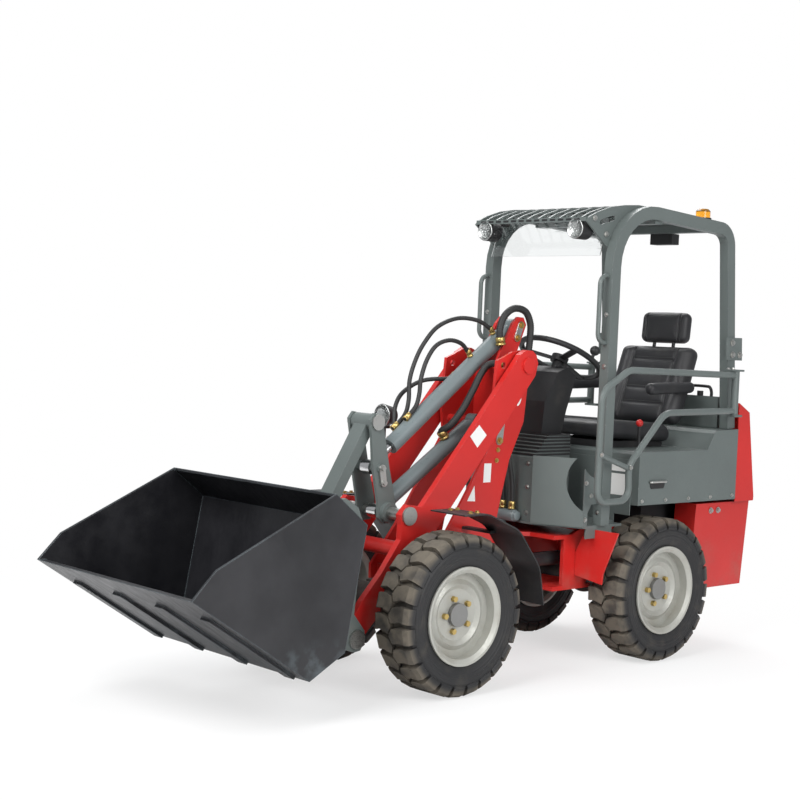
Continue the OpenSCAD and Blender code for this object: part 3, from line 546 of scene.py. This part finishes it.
def scatter(name, shape, rows, radius, height, finish, body, seed):
    mesh = bpy.data.meshes.new(name)
    mesh.from_pydata([tuple(place) for place, lay, size in rows], [], [])
    lays = mesh.attributes.new("lay", "FLOAT_VECTOR", "POINT")
    lays.data.foreach_set("vector", [c for place, lay, size in rows for c in lay])
    sizes = mesh.attributes.new("size", "FLOAT", "POINT")
    sizes.data.foreach_set("value", [size for place, lay, size in rows])
    obj = bpy.data.objects.new(name, mesh)
    scene.collection.objects.link(obj)
    tree, sockets = groups[shape]
    modifier = obj.modifiers.new("rows", "NODES")
    modifier.node_group = tree
    settings = {"Head Radius": radius, "Head Height": height, "Turn Seed": seed, "Finish": finish}
    for label, value in settings.items():
        modifier[sockets[label]] = value
    baked = bakedMesh(obj)
    obj.modifiers.remove(modifier)
    obj.data = baked
    baked.name = name
    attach(obj, body)


# hoses and sleeves; a cylinder's line runs from its base pin to its rod pin, in the side view
tiltLine = ((-60, 1572), (792.7, 928.7))
liftLine = ((160, 1126), (745.58, 735.32))


# place along a cylinder's line, off it and across it
def onLine(line, along, off, y):
    (x0, z0), (x1, z1) = line
    d = Vector((x1 - x0, z1 - z0)).normalized()
    return (x0 + along * d.x - off * d.y, y, z0 + along * d.y + off * d.x)


def onTilt(along, off, y):
    return onLine(tiltLine, along, off, y)


def onLift(along, off, y):
    return onLine(liftLine, along, off, y)


hoses = {
    "tiltHoseA": {"bodies": ["tilt_barrel_body"], "radius": 10, "route": [
        onTilt(120, 38.3, 0), onTilt(120, 50, 0), onTilt(122, 66, 0), (150, -12, 1588), (260, -34, 1594),
        (370, -48, 1552), (442, -58, 1475), (490, -60, 1395), (522, -58, 1306), onTilt(690, 72, -46),
        onTilt(760, 42, -30), onTilt(850, 39.8, -28)]},
    "tiltHoseB": {"bodies": ["tilt_barrel_body"], "radius": 10, "route": [
        onTilt(299, 38.3, 0), onTilt(299, 50, 0), onTilt(301, 66, 0), (270, 4, 1480), (346, 4, 1492),
        (421, 0, 1466), (470, -6, 1400), (500, -8, 1314), onTilt(650, 84, -4), onTilt(706, 53, 2),
        onTilt(790, 48.6, 6)]},
    "tiltHoseC": {"bodies": ["tilt_barrel_body"], "radius": 10, "route": [
        onTilt(390, 0, -48.6), onTilt(430, 3, -54), (345, -84, 1312), (402, -104, 1302), (466, -110, 1276),
        (530, -106, 1236), (570, -94, 1184), (590, -74, 1126), onTilt(836, 0, -52), onTilt(880, 0, -48.6)]},
    "neckSleeve": {"bodies": ["front_frame"], "radius": 17, "pitch": 9, "route": [
        (-6.8, 64, 1345), (-24, 64, 1345), (-46, 64, 1346), (-94, 64, 1384), (-118, 64, 1452),
        (-126, 64, 1530), (-122, 64, 1588), (-86, 64, 1640), (-12, 64, 1652), (52, 64, 1616), (82, 64, 1548),
        (70, 64, 1480)]},
    "liftSleeve": {"bodies": ["front_frame", "lift_barrel_body"], "radius": 17, "pitch": 9,
                   "bend": ((166, 86, 1388), (344, 36, 1110)), "route": [
        (118, 156.3, 1395), (118, 141, 1395), (120, 123, 1395), (166, 86, 1388), (204, 74, 1342),
        (250, 72, 1266), (304, 66, 1180), (344, 36, 1110), onLift(196, 74, 0), onLift(196, 39, 0)]},
}
for tag, y in (("Left", 58), ("Middle", 0), ("Right", -58)):
    hoses["hingeHose" + tag] = {"bodies": ["rear_frame", "front_frame"], "radius": 12,
                                "bend": ((-58, y, 760), (2, y, 1090)), "route": [
        (-58, y, 710.6), (-58, y, 750), (-50, y, 850), (-22, y, 960), (-2, y, 1050), (2, y, 1090),
        (2, y, 1115), (2, y, 1139.4)]}
# fitting on a hose's end: share of the hose's radius, and height
fittingProfile = [(0.9, 0.0), (1.42, 0.0), (1.42, 0.008), (1.2, 0.009), (1.2, 0.013), (1.3, 0.014),
                  (1.3, 0.034), (1.12, 0.037), (1.02, 0.038)]


# curve through all points of a route
def smoothLine(route, steps):
    p = [Vector(q) for q in route]
    line = []
    for i in range(len(p) - 1):
        a, b, c, d = p[max(0, i - 1)], p[i], p[i + 1], p[min(len(p) - 1, i + 2)]
        for k in range(steps):
            t = k / steps
            square = 2 * a - 5 * b + 4 * c - d
            cube = 3 * b - a - 3 * c + d
            line.append(0.5 * (2 * b + (c - a) * t + square * t ** 2 + cube * t ** 3))
    return line + [p[-1]]


# the same curve in even steps, with its length
def evenLine(line, step):
    marks = [0.0]
    for a, b in zip(line, line[1:]):
        marks.append(marks[-1] + (b - a).length)
    count = max(2, round(marks[-1] / step))
    even, i = [], 0
    for k in range(count + 1):
        want = marks[-1] * k / count
        while i < len(marks) - 2 and marks[i + 1] < want:
            i += 1
        share = (want - marks[i]) / max(1e-9, marks[i + 1] - marks[i])
        even.append(line[i].lerp(line[i + 1], min(1, share)))
    return even, marks[-1]


def addTube(bm, line, radii, sides=14):
    way = (line[1] - line[0]).normalized()
    across = way.orthogonal().normalized()
    angles = [k * math.tau / sides for k in range(sides)]
    rings = []
    for i, p in enumerate(line):
        ahead = (line[min(len(line) - 1, i + 1)] - line[max(0, i - 1)]).normalized()
        across = way.rotation_difference(ahead) @ across
        across = (across - ahead * across.dot(ahead)).normalized()
        way = ahead
        other = way.cross(across)
        spokes = [across * math.cos(a) + other * math.sin(a) for a in angles]
        rings.append([bm.verts.new(p + radii[i] * spoke) for spoke in spokes])
    for lower, upper in zip(rings, rings[1:]):
        joinRings(bm, lower, upper)
    bm.faces.new(list(reversed(rings[0])))
    bm.faces.new(rings[-1])


def bentBar(name, bar, material):
    bm = bmesh.new()
    line = evenLine([at(*p) for p in smoothLine(bar["route"], 6)], bar["step"])[0]
    addTube(bm, line, [bar["radius"] / 1000] * len(line), bar["sides"])
    newPiece(name, bm, material, "rear_frame")


fittings = {}
hoseLengths = {}
for name, h in hoses.items():
    line, length = evenLine([at(*p) for p in smoothLine(h["route"], 24)], h.get("pitch", 24) / 4000)
    radius = h["radius"] / 1000
    radii = [radius] * len(line)
    if "pitch" in h:
        radii = [radius * (0.965 + 0.035 * math.cos(i * math.pi / 2)) for i in range(len(line))]
    bm = bmesh.new()
    addTube(bm, line, radii)
    hose = newPiece(name, bm, hoseRubber, None)
    if len(h["bodies"]) == 2:
        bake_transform(hose)
    else:
        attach(hose, h["bodies"][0])
    hoseLengths[name] = round(length, 3)
    for end, after, body in ((line[0], line[1], h["bodies"][0]), (line[-1], line[-2], h["bodies"][-1])):
        bm = fittings.setdefault(body, bmesh.new())
        profile = [(radius * share, height) for share, height in fittingProfile]
        addTurned(bm, profile, end, (after - end).normalized(), 18)
for body, bm in fittings.items():
    newPiece("hoseFittings_" + body, bm, yellowZinc, body)

# rounded block on the hinge pin that the hoses leave, and its stem
hoseBlock = {"place": (-58, 0, 682), "stemFoot": (-60, 0, 612.2),
             "half": [(0.028, 0.081), (0.025, 0.084), (0.022, 0.084), (0.022, 0.095), (0.019, 0.098),
                      (0.0, 0.098)],
             "stem": [(0.026, 0.0), (0.026, 0.008), (0.018, 0.012), (0.018, 0.06), (0.0, 0.062)]}
bm = bmesh.new()
profile = [(r, -h) for r, h in reversed(hoseBlock["half"])] + hoseBlock["half"]
addTurned(bm, profile, at(*hoseBlock["place"]), outward, 32)
addTurned(bm, hoseBlock["stem"], at(*hoseBlock["stemFoot"]), upward, 24)
newPiece("hoseBlock", bm, cylinderPaint, "rear_frame")
print("hoses laid, lengths", hoseLengths)

# tyre: a bare carcass and two rows of lugs; a lug's points lie along the tread, across it and at a radius
tyreForm = {"lugs": 24, "stagger": 0.25, "segments": 96,
            "carcass": [(191, -84), (211, -90), (255, -106), (283, -108), (307, -96), (321, -68), (321, 68),
                        (307, 96), (283, 108), (255, 106), (211, 90), (191, 84), (191, -84)],
            "lug": [(-32, 10, 343), (0, -6, 343), (32, 10, 343), (44, 52, 343), (40.4, 80, 343),
                    (38, 99, 331), (37, 108.5, 300), (-27, 108.5, 300), (-26, 99, 331), (-23.6, 80, 343),
                    (-20, 52, 343)],
            "tops": [(0, 1, 2, 3, 4, 9, 10), (4, 5, 8, 9), (5, 6, 7, 8)],
            "sink": 8, "footRadius": 312, "shoulder": 320, "treadReach": 96, "sideReach": 104}


def lugPoint(hub, spin, along, across, radius):
    out = Vector((math.cos(spin), 0, math.sin(spin)))
    onward = Vector((-math.sin(spin), 0, math.cos(spin)))
    flat = math.sqrt(radius ** 2 - along ** 2)
    return hub + (out * flat + onward * along + outward * across) / 1000


def addLug(bm, hub, spin, half, form):
    top, foot = [], []
    for along, across, radius in form["lug"]:
        reach = min(across, form["treadReach"]) if radius > form["shoulder"] else form["sideReach"]
        low = min(radius - form["sink"], form["footRadius"])
        top.append(bm.verts.new(lugPoint(hub, spin, along, half * across, radius)))
        foot.append(bm.verts.new(lugPoint(hub, spin, along, half * reach, low)))
    for face in form["tops"]:
        bm.faces.new([top[i] for i in face])
    joinRings(bm, top, foot)
    bm.faces.new(foot)


def tyrePiece(corner, form):
    bm = bmesh.new()
    hub = middleOf("tyre_" + corner)
    addTurned(bm, [(r / 1000, h / 1000) for r, h in form["carcass"]], hub, outward, form["segments"])
    for half in (1, -1):
        for k in range(form["lugs"]):
            addLug(bm, hub, (k + half * form["stagger"]) * math.tau / form["lugs"], half, form)
    rubber = tyreSurface("treadRubber_" + corner, hub)
    tyre = newPiece("treadTyre_" + corner, bm, rubber, "wheel_" + corner, False)
    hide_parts("tyre_" + corner)


for corner in corners:
    tyrePiece(corner, tyreForm)
print("tyres with lugs made")


# plate with a hole, both outlines as points on the face
def addCutPlate(bm, outline, hole, face, thick):
    loops = []
    for up in (0, thick):
        edges, level = [], []
        for ring in (outline, hole):
            verts = [bm.verts.new(p + face * up) for p in ring]
            edges += [bm.edges.new((verts[k - 1], verts[k])) for k in range(len(verts))]
            level.append(verts)
        bmesh.ops.triangle_fill(bm, edges=edges, use_beauty=True)
        loops.append(level)
    for lower, upper in zip(*loops):
        joinRings(bm, lower, upper)


# bar of one width along a line in the side view
def addStrip(bm, line, y0, y1, width):
    rows = []
    for i, p in enumerate(line):
        a, b = Vector(line[max(0, i - 1)]), Vector(line[min(len(line) - 1, i + 1)])
        n = Vector((-(b - a).y, (b - a).x)).normalized() * width / 2
        rows.append([bm.verts.new(at(p[0] + k * n.x, y, p[1] + k * n.y))
                     for k, y in ((1, y0), (1, y1), (-1, y1), (-1, y0))])
    for lower, upper in zip(rows, rows[1:]):
        joinRings(bm, lower, upper)
    bm.faces.new(rows[0])
    bm.faces.new(rows[-1])


# canopy in front of the roof: side plates with a window, ribs, and a bar at the front and the rear
canopy = {"half": 351, "sheet": 0.0085,
          "side": [(-150, 2062), (-167, 2082), (-225, 2110), (-316, 2140), (-417, 2157), (-520, 2166),
                   (-682, 2161), (-779, 2148), (-779, 2128), (-600, 2128), (-540, 2112), (-430, 2070),
                   (-352, 2000), (-330, 1958), (-306, 1952)],
          "window": ((-256, 2066), (-340, 2090), 12),
          "bow": [(-160, 2072), (-225, 2104), (-316, 2134), (-417, 2151), (-520, 2158), (-580, 2158)],
          "ribs": range(-306, 311, 68), "ribWidth": 10, "ribDepth": 8,
          "bars": [{"x": -172, "z": (2062, 2082), "deep": 0.022},
                   {"x": -580, "z": (2138, 2162), "deep": 0.02}]}
half = canopy["half"]
bm = bmesh.new()
for side in (1, -1):
    outline = [at(x, half, z) for x, z in canopy["side"]]
    window = oblong(*canopy["window"], half)
    addCutPlate(bm, mirrored(outline, side), mirrored(window, side), outward * side, canopy["sheet"])
for y in canopy["ribs"]:
    addStrip(bm, canopy["bow"], y - canopy["ribWidth"] / 2, y + canopy["ribWidth"] / 2, canopy["ribDepth"])
for bar in canopy["bars"]:
    addPlate(bm, uprightRect(bar["x"], -half, half, *bar["z"]), forward, bar["deep"])
newPiece("canopy", bm, slatePaint, "rear_frame", False)

# black patches on the front bar in place of its slots: painted shade where the openings would show the dark
# inside
slotShadePatches = {"x": -149.9, "z": (2067, 2077), "half": 17, "pitch": 50, "eachSide": 6}
bm = bmesh.new()
for k in range(-slotShadePatches["eachSide"], slotShadePatches["eachSide"] + 1):
    y = k * slotShadePatches["pitch"]
    slot = uprightRect(slotShadePatches["x"], y - slotShadePatches["half"], y + slotShadePatches["half"], *slotShadePatches["z"])
    addPlate(bm, slot, forward, 0.0006, 0.0003)
newPiece("slotShadePatches", bm, mouldedBlack, "rear_frame", False)

# ribbed cover on the sloped cowl
cowlLouvre = {"ribs": range(968, 1056, 16), "ribHeight": 0.009, "foot": (-92, 960), "slope": 0.98,
              "rear": -343, "half": 156, "wall": 4.5, "lid": (1060.2, -345, -192, -152, 152),
              "lidSheet": 0.006}
half, wall, rear = cowlLouvre["half"], cowlLouvre["wall"], cowlLouvre["rear"]
bm = bmesh.new()
for z in cowlLouvre["ribs"]:
    front = cowlLouvre["foot"][0] - (z - cowlLouvre["foot"][1]) * cowlLouvre["slope"]
    for rib in ((front - 4, front + 5, -half, half), (rear, front, half - wall, half),
                (rear, front, -half, wall - half)):
        addPlate(bm, levelRect(z, *rib), upward, cowlLouvre["ribHeight"], 0.0015)
addPlate(bm, levelRect(*cowlLouvre["lid"]), upward, cowlLouvre["lidSheet"])
newPiece("cowlLouvre", bm, mouldedBlack, "rear_frame", False)

# side panels of the floor with the tyre's arch, and brackets on the rear posts
sidePanels = {"bracketY": 410.2, "bracket": [(-1196, 1448), (-1190, 1562), (-1318, 1562), (-1326, 1448)],
              "panelY": 380, "panel": [(-193, 660), (-193, 926), (-205, 912), (-230, 893), (-262, 882),
                                       (-289, 880), (-289, 760), (-246, 760), (-222, 720), (-222, 660)]}
bm = bmesh.new()
for side in (1, -1):
    bracket = [at(x, side * sidePanels["bracketY"], z) for x, z in sidePanels["bracket"]]
    addPlate(bm, bracket, outward * side, 0.0088)
    panel = [at(x, side * sidePanels["panelY"], z) for x, z in sidePanels["panel"]]
    addPlate(bm, panel, outward * side, 0.006, 0.0004)
newPiece("sidePanels", bm, slatePaint, "rear_frame", False)

# plates before the rear tyres
tyreGuards = {"x": -289, "sheet": 0.008, "outline": [
    (270.3, 519), (270.3, 411), (438, 389), (444, 441), (525, 639), (367, 639), (310, 600)]}
bm = bmesh.new()
for side in (1, -1):
    outline = [at(tyreGuards["x"], side * y, z) for y, z in tyreGuards["outline"]]
    addPlate(bm, outline, forward, tyreGuards["sheet"])
newPiece("tyreGuards", bm, redPaint, "rear_frame", False)

grabBar = {"radius": 8, "sides": 12, "step": 0.006, "route": [
    (-1275, 112, 1256), (-1275, 112, 1280), (-1275, 120, 1300), (-1275, 140, 1308), (-1275, 250, 1308),
    (-1275, 270, 1300), (-1275, 278, 1280), (-1275, 278, 1256)]}
bentBar("grabBar", grabBar, mouldedBlack)
print("canopy, cover, panels and guards made")

# keeper plates on the pins; the arm passes close over the upper end of the lift cylinder's one
keepers = {
    "front_frame": [
        {"ends": [(-60, 1576), (-38, 1515)], "radius": 18, "y": 60.2, "thick": 6.5, "bolted": (0, 1)},
        {"ends": [(160, 1126), (169, 1046)], "radius": 20, "y": 173.2, "thick": 6.5, "bolted": (1,)}],
    "lever": [{"ends": [(792.7, 928.7), (782, 866)], "radius": 17, "y": 76.2, "thick": 12, "bolted": (0, 1)}],
}
boltRows = {}


def addBolt(body, place, face, size):
    boltRows.setdefault(body, []).append((place, face, size))


for body, plates in keepers.items():
    bm = bmesh.new()
    for plate in plates:
        for side in (1, -1):
            outline = oblong(*plate["ends"], plate["radius"], plate["y"])
            addPlate(bm, mirrored(outline, side), outward * side, plate["thick"] / 1000)
            for x, z in (plate["ends"][i] for i in plate["bolted"]):
                addBolt(body, at(x, side * (plate["y"] + plate["thick"]), z), outward * side, 1.15)
    newPiece("keeperPlates_" + body, bm, zincPlate, body, False)

# bolts on both sides, by body and by the piece they hold: face, size and places
bolts = {
    "rear_frame": {
        "canopy": (outward, 1.0, [(-290, 360, 2012), (-205, 360, 2080)]),
        "postBrackets": (outward, 1.2, [(-1240, 419, 1476), (-1234, 419, 1536), (-1300, 419, 1476)]),
        "gateEars": (upward, 0.8, [(-1234, 432, 1403), (-1198, 432, 1403)]),
        "hood": (outward, 0.7, [(x, 430, 765) for x in range(-560, -1281, -180)]),
        "cowl": (forward, 0.75, [(-92, 122, z) for z in (700, 820, 930)]),
        "sidePanels": (outward, 0.8, [(-204, 386, 690), (-204, 386, 860), (-240, 386, 800)]),
        "frontPosts": (forward, 0.8, [(-290, 385, z) for z in (1640, 1400, 1000, 720)]),
        "counterweight": (outward, 1.1, [(-1150, 400, 690), (-1210, 400, 690)]),
    },
    "front_frame": {
        "fenders": (upward, 0.9, [(x, y, 771) for x in (630, 590) for y in (350, 470)]),
        "tower": (outward, 0.8, [(172, 173, 1004), (178, 173, 956), (240, 173, 470), (330, 173, 460),
                                 (520, 173, 450)]),
    },
}
for side in (1, -1):
    for body, runs in bolts.items():
        for face, size, places in runs.values():
            turned = mirrored([face], side)[0]
            for x, y, z in places:
                addBolt(body, at(x, side * y, z), turned, size)
for y in (-250, -90, 90, 250):
    addBolt("rear_frame", at(-1262, y, 1180), forward, 0.7)
for x, z in ((-396, 936), (-184, 1000)):
    addBolt("gate", at(x, 486, z), outward, 0.8)
for body, rows in boltRows.items():
    plating = yellowZinc if body == "front_frame" else zincPlate
    scatter("bolts_" + body, "bolt", rows, 0.0095, 0.009, plating, body, 5)
print("keepers and bolts set")


def leaningOval(x, y, z, halfWidth, halfHeight, lean, points=20):
    angles = [k * math.tau / points for k in range(points)]
    return [at(x + halfWidth * math.cos(a) - lean * math.sin(a), y, z + halfHeight * math.sin(a))
            for a in angles]


# blank stickers: the face each body's stickers lie on, and their outlines
stickers = {
    "arm": {"face": outward, "outlines": [
        [at(x, 215, z) for x, z in ((342, 1122), (292, 1076), (348, 1021), (396, 1072))]]},
    "front_frame": {"face": outward, "outlines": [
        [at(x, 173, z) for x, z in ((212, 858), (258, 858), (256, 944), (210, 944))],
        [at(x, 173, z) for x, z in ((305, 775), (356, 778), (313, 846))],
        leaningOval(47, 173, 1228, 13, 24, 8)]},
    "rear_frame": {"face": forward, "outlines": [
        uprightRect(-523.7, 196, 262, 870, 945), uprightRect(-523.7, 196, 258, 785, 862),
        uprightRect(-523.7, 268, 366, 786, 888),
        [at(-523.7, y, z) for y, z in ((268, 900), (366, 900), (300, 945), (268, 945))]]},
}
for body, sheet in stickers.items():
    bm = bmesh.new()
    for outline in sheet["outlines"]:
        addPlate(bm, [p + sheet["face"] * 0.0001 for p in outline], sheet["face"], 0.0005, 0.0002)
    newPiece("stickers_" + body, bm, stickerWhite, body, False)

# roof lamps: bezel and rings of small lenses
roofLamps = {"x": -155, "y": 290, "z": 2030, "lensX": -152.6, "lensRings": ((1, 0), (6, 16), (11, 31)),
             "bezel": [(0.0465, 0.0003), (0.0465, 0.005), (0.043, 0.006), (0.041, 0.002), (0.0, 0.0015)]}
ledRows = []
bm = bmesh.new()
for side in (1, -1):
    y, z = side * roofLamps["y"], roofLamps["z"]
    addTurned(bm, roofLamps["bezel"], at(roofLamps["x"], y, z), forward, 36)
    for count, ring in roofLamps["lensRings"]:
        for a in (k * math.tau / count for k in range(count)):
            lens = at(roofLamps["lensX"], y + ring * math.cos(a), z + ring * math.sin(a))
            ledRows.append((lens, forward, 1.0))
newPiece("lampFaces", bm, lampFace, "rear_frame")
scatter("ledDots", "dot", ledRows, 0.0068, 0.004, lampGlass, "rear_frame", 2)

roundLamp = {"place": (460, -300, 1130), "reflector": [(0.053, 0.0003), (0.053, 0.006), (0.049, 0.007),
                                                       (0.047, 0.003), (0.03, 0.0012), (0.0, 0.0008)],
             "glass": [(0.0485, 0.004), (0.0485, 0.008), (0.042, 0.0115), (0.03, 0.014), (0.015, 0.0152),
                       (0.0, 0.0155)]}
for name, key, finish in (("roundLampReflector", "reflector", lampFace),
                          ("roundLampGlass", "glass", lampGlass)):
    bm = bmesh.new()
    addTurned(bm, roundLamp[key], at(*roundLamp["place"]), forward, 40)
    newPiece(name, bm, finish, "front_frame")

hoodHandle = {"radius": 6, "sides": 10, "step": 0.004, "trayY": 430.2,
              "tray": [(-716, 822), (-624, 822), (-616, 834), (-614, 852), (-726, 852), (-724, 834)],
              "route": [(-728, 433, 853), (-724, 441, 855), (-700, 444, 856), (-640, 444, 856),
                        (-616, 441, 855), (-612, 433, 853)]}
bm = bmesh.new()
addPlate(bm, [at(x, hoodHandle["trayY"], z) for x, z in hoodHandle["tray"]], outward, 0.004, 0.002)
newPiece("hoodHandleTray", bm, mouldedBlack, "rear_frame", False)
bentBar("hoodHandle", hoodHandle, zincPlate)
print("stickers, lamps and handle made")

# soft seat pads: u runs along the pad, face is its outward side, in the side view
pads = {
    "seatCushionPad": {"node": "seat_cushion", "centre": (-778, 0, 1074), "u": (0.9984, 0.0555),
                       "face": (-0.0555, 0.9984), "half": (240, 236, 38), "corner": 34, "bolster": 16,
                       "crossSeams": (-0.5, -0.1, 0.3), "sideSeam": 0.6},
    "seatBackPad": {"node": "seat_back", "centre": (-1136, 0, 1304), "u": (-0.34, 0.9404),
                    "face": (0.9404, 0.34), "half": (206, 228, 44), "corner": 38, "bolster": 20,
                    "crossSeams": (-0.55, -0.15, 0.25, 0.62), "sideSeam": 0.6},
    "headrestPad": {"node": "seat_back", "centre": (-1238, 0, 1601), "u": (-0.1, 0.995), "face": (0.995, 0.1),
                    "half": (80, 146, 38), "corner": 34, "bolster": 0, "crossSeams": (), "sideSeam": 0.72},
}
for tag, y in (("Left", 270), ("Right", -270)):
    pads["armrest" + tag] = {"node": "seat_back", "centre": (-942, y, 1297), "u": (1, -0.03),
                             "face": (0.03, 1), "half": (178, 29, 29), "corner": 26, "bolster": 0,
                             "crossSeams": (), "sideSeam": 0}
seamWidth = 7
seamDepth = 9


def smoothStep(value, low, high):
    t = min(1, max(0, (value - low) / (high - low)))
    return t * t * (3 - 2 * t)


# how far a place lies in a seam, from 0 to 1
def seamDip(p, pad):
    half, sideSeam = pad["half"], pad["sideSeam"]
    if not sideSeam:
        return 0
    s, t = p.x / half[0], p.y / half[1]
    dip = math.exp(-((abs(t) - sideSeam) * half[1] / seamWidth) ** 2) * (1 - smoothStep(abs(s), 0.86, 0.98))
    within = 1 - smoothStep(abs(t), sideSeam - 0.02, sideSeam + 0.04)
    for seam in pad["crossSeams"]:
        dip = max(dip, math.exp(-((s - seam) * half[0] / seamWidth) ** 2) * within)
    return dip


# a short cloth run under pressure, each point held to a small move, then one subdivision
def puff(obj, cap):
    start = [v.co.copy() for v in obj.data.vertices]
    cloth = obj.modifiers.new("puff", "CLOTH")
    cloth.settings.use_pressure = True
    cloth.settings.uniform_pressure_force = 4
    cloth.settings.vertex_group_mass = "pinned"
    cloth.settings.quality = 4
    cloth.settings.tension_stiffness = 25
    cloth.settings.compression_stiffness = 25
    cloth.settings.effector_weights.gravity = 0
    cloth.point_cache.frame_start = 1
    cloth.point_cache.frame_end = 20
    for number in range(1, 21):
        scene.frame_set(number)
    done = bpy.data.meshes.new_from_object(obj.evaluated_get(bpy.context.evaluated_depsgraph_get()))
    for v, before in zip(done.vertices, start):
        move = v.co - before
        if move.length > cap:
            v.co = before + move.normalized() * cap
    obj.modifiers.remove(cloth)
    obj.data = done
    scene.frame_set(1)
    fine = obj.modifiers.new("fine", "SUBSURF")
    fine.levels = 1
    fine.render_levels = 1
    obj.data = bakedMesh(obj)
    obj.modifiers.remove(fine)


# rounded block with bolsters and seams, shaped about its own middle and then turned into the seat
def padPiece(name, pad):
    half, corner = Vector(pad["half"]), pad["corner"]
    bm = bmesh.new()
    bmesh.ops.create_cube(bm, size=2)
    bmesh.ops.subdivide_edges(bm, edges=bm.edges, cuts=23, use_grid_fill=True)
    for v in bm.verts:
        p = v.co * half
        inner = Vector([max(-h + corner, min(h - corner, c)) for c, h in zip(p, half)])
        v.co = (inner + (p - inner).normalized() * corner) / 1000
    mesh = bpy.data.meshes.new(name)
    bm.to_mesh(mesh)
    bm.free()
    obj = bpy.data.objects.new(name, mesh)
    scene.collection.objects.link(obj)
    even = obj.modifiers.new("even", "REMESH")
    even.mode = "VOXEL"
    even.voxel_size = 0.006
    obj.data = bakedMesh(obj)
    obj.modifiers.remove(even)
    pinned = obj.vertex_groups.new(name="pinned")
    for v in obj.data.vertices:
        p = v.co * 1000
        t = abs(p.y) / half.y
        dip = seamDip(p, pad)
        ends = 1 - smoothStep(abs(p.x) / half.x, 0.8, 1.0)
        rise = pad["bolster"] * smoothStep(t, 0.6, 0.74) * (1 - smoothStep(t, 0.84, 1.0)) * ends
        v.co.z += smoothStep(p.z / half.z, -0.1, 0.5) * (rise - seamDepth * dip) / 1000
        if dip > 0.45 or p.z < -0.35 * half.z:
            pinned.add([v.index], 1.0, "REPLACE")
    puff(obj, 0.024)
    u, face = (Vector((pad[key][0], 0, pad[key][1])) for key in ("u", "face"))
    turn = Matrix((u, face.cross(u), face)).transposed().to_4x4()
    turn.translation = at(*pad["centre"])
    obj.data.transform(turn)
    obj.data.materials.clear()
    obj.data.materials.append(seatLeather)
    for polygon in obj.data.polygons:
        polygon.use_smooth = True
    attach(obj, "rear_frame")
    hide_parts(pad["node"])
    return obj, turn


# stitches beside the seams, set on the pad's surface
def stitchLines(pad, offset=9):
    half, sideSeam = pad["half"], pad["sideSeam"]
    lines = [[(s / 60 * half[0] * 0.84, side * (sideSeam * half[1] + off)) for s in range(-60, 61)]
             for side in (1, -1) for off in (-offset, offset)]
    for seam in pad["crossSeams"]:
        reach = half[1] * (sideSeam - 0.05)
        lines.append([(seam * half[0] + offset, t / 40 * reach) for t in range(-40, 41)])
    return lines


stitchRows = []
for name, pad in pads.items():
    obj, turn = padPiece(name, pad)
    if not pad["sideSeam"]:
        continue
    tree = BVHTree.FromPolygons([v.co for v in obj.data.vertices], [f.vertices for f in obj.data.polygons])
    face = turn.to_3x3() @ upward
    for line in stitchLines(pad):
        hits = [tree.ray_cast(turn @ Vector((u / 1000, v / 1000, 0.15)), -face)[0] for u, v in line]
        for a, b in zip(hits, hits[1:]):
            if a is not None and b is not None:
                stitchRows.append(((a + b) / 2 + face * 0.0003, (b - a).normalized(), 1.0))
scatter("seatStitches", "stitch", stitchRows, 0.0024, 0.001, threadGrey, "rear_frame", 1)

# headrest bars and armrest pivots
seatFittings = {"bar": [(0.0, 0.0), (0.009, 0.0), (0.009, 0.09), (0.0, 0.09)], "barFoot": (-1216, 62, 1470),
                "barLean": Vector((-0.14, 0, 0.99)), "pivotPlace": (-1105, 222, 1300),
                "pivot": [(0.0, 0.0), (0.02, 0.0), (0.024, 0.003), (0.024, 0.028), (0.0, 0.03)]}
bm = bmesh.new()
for side in (1, -1):
    foot, pivot = mirrored([at(*seatFittings[key]) for key in ("barFoot", "pivotPlace")], side)
    addTurned(bm, seatFittings["bar"], foot, seatFittings["barLean"], 16)
    addTurned(bm, seatFittings["pivot"], pivot, outward * side, 24)
seatIron = newPiece("seatFittings", bm, mouldedBlack, "rear_frame")
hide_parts("seat_back")
print("seat pads made")
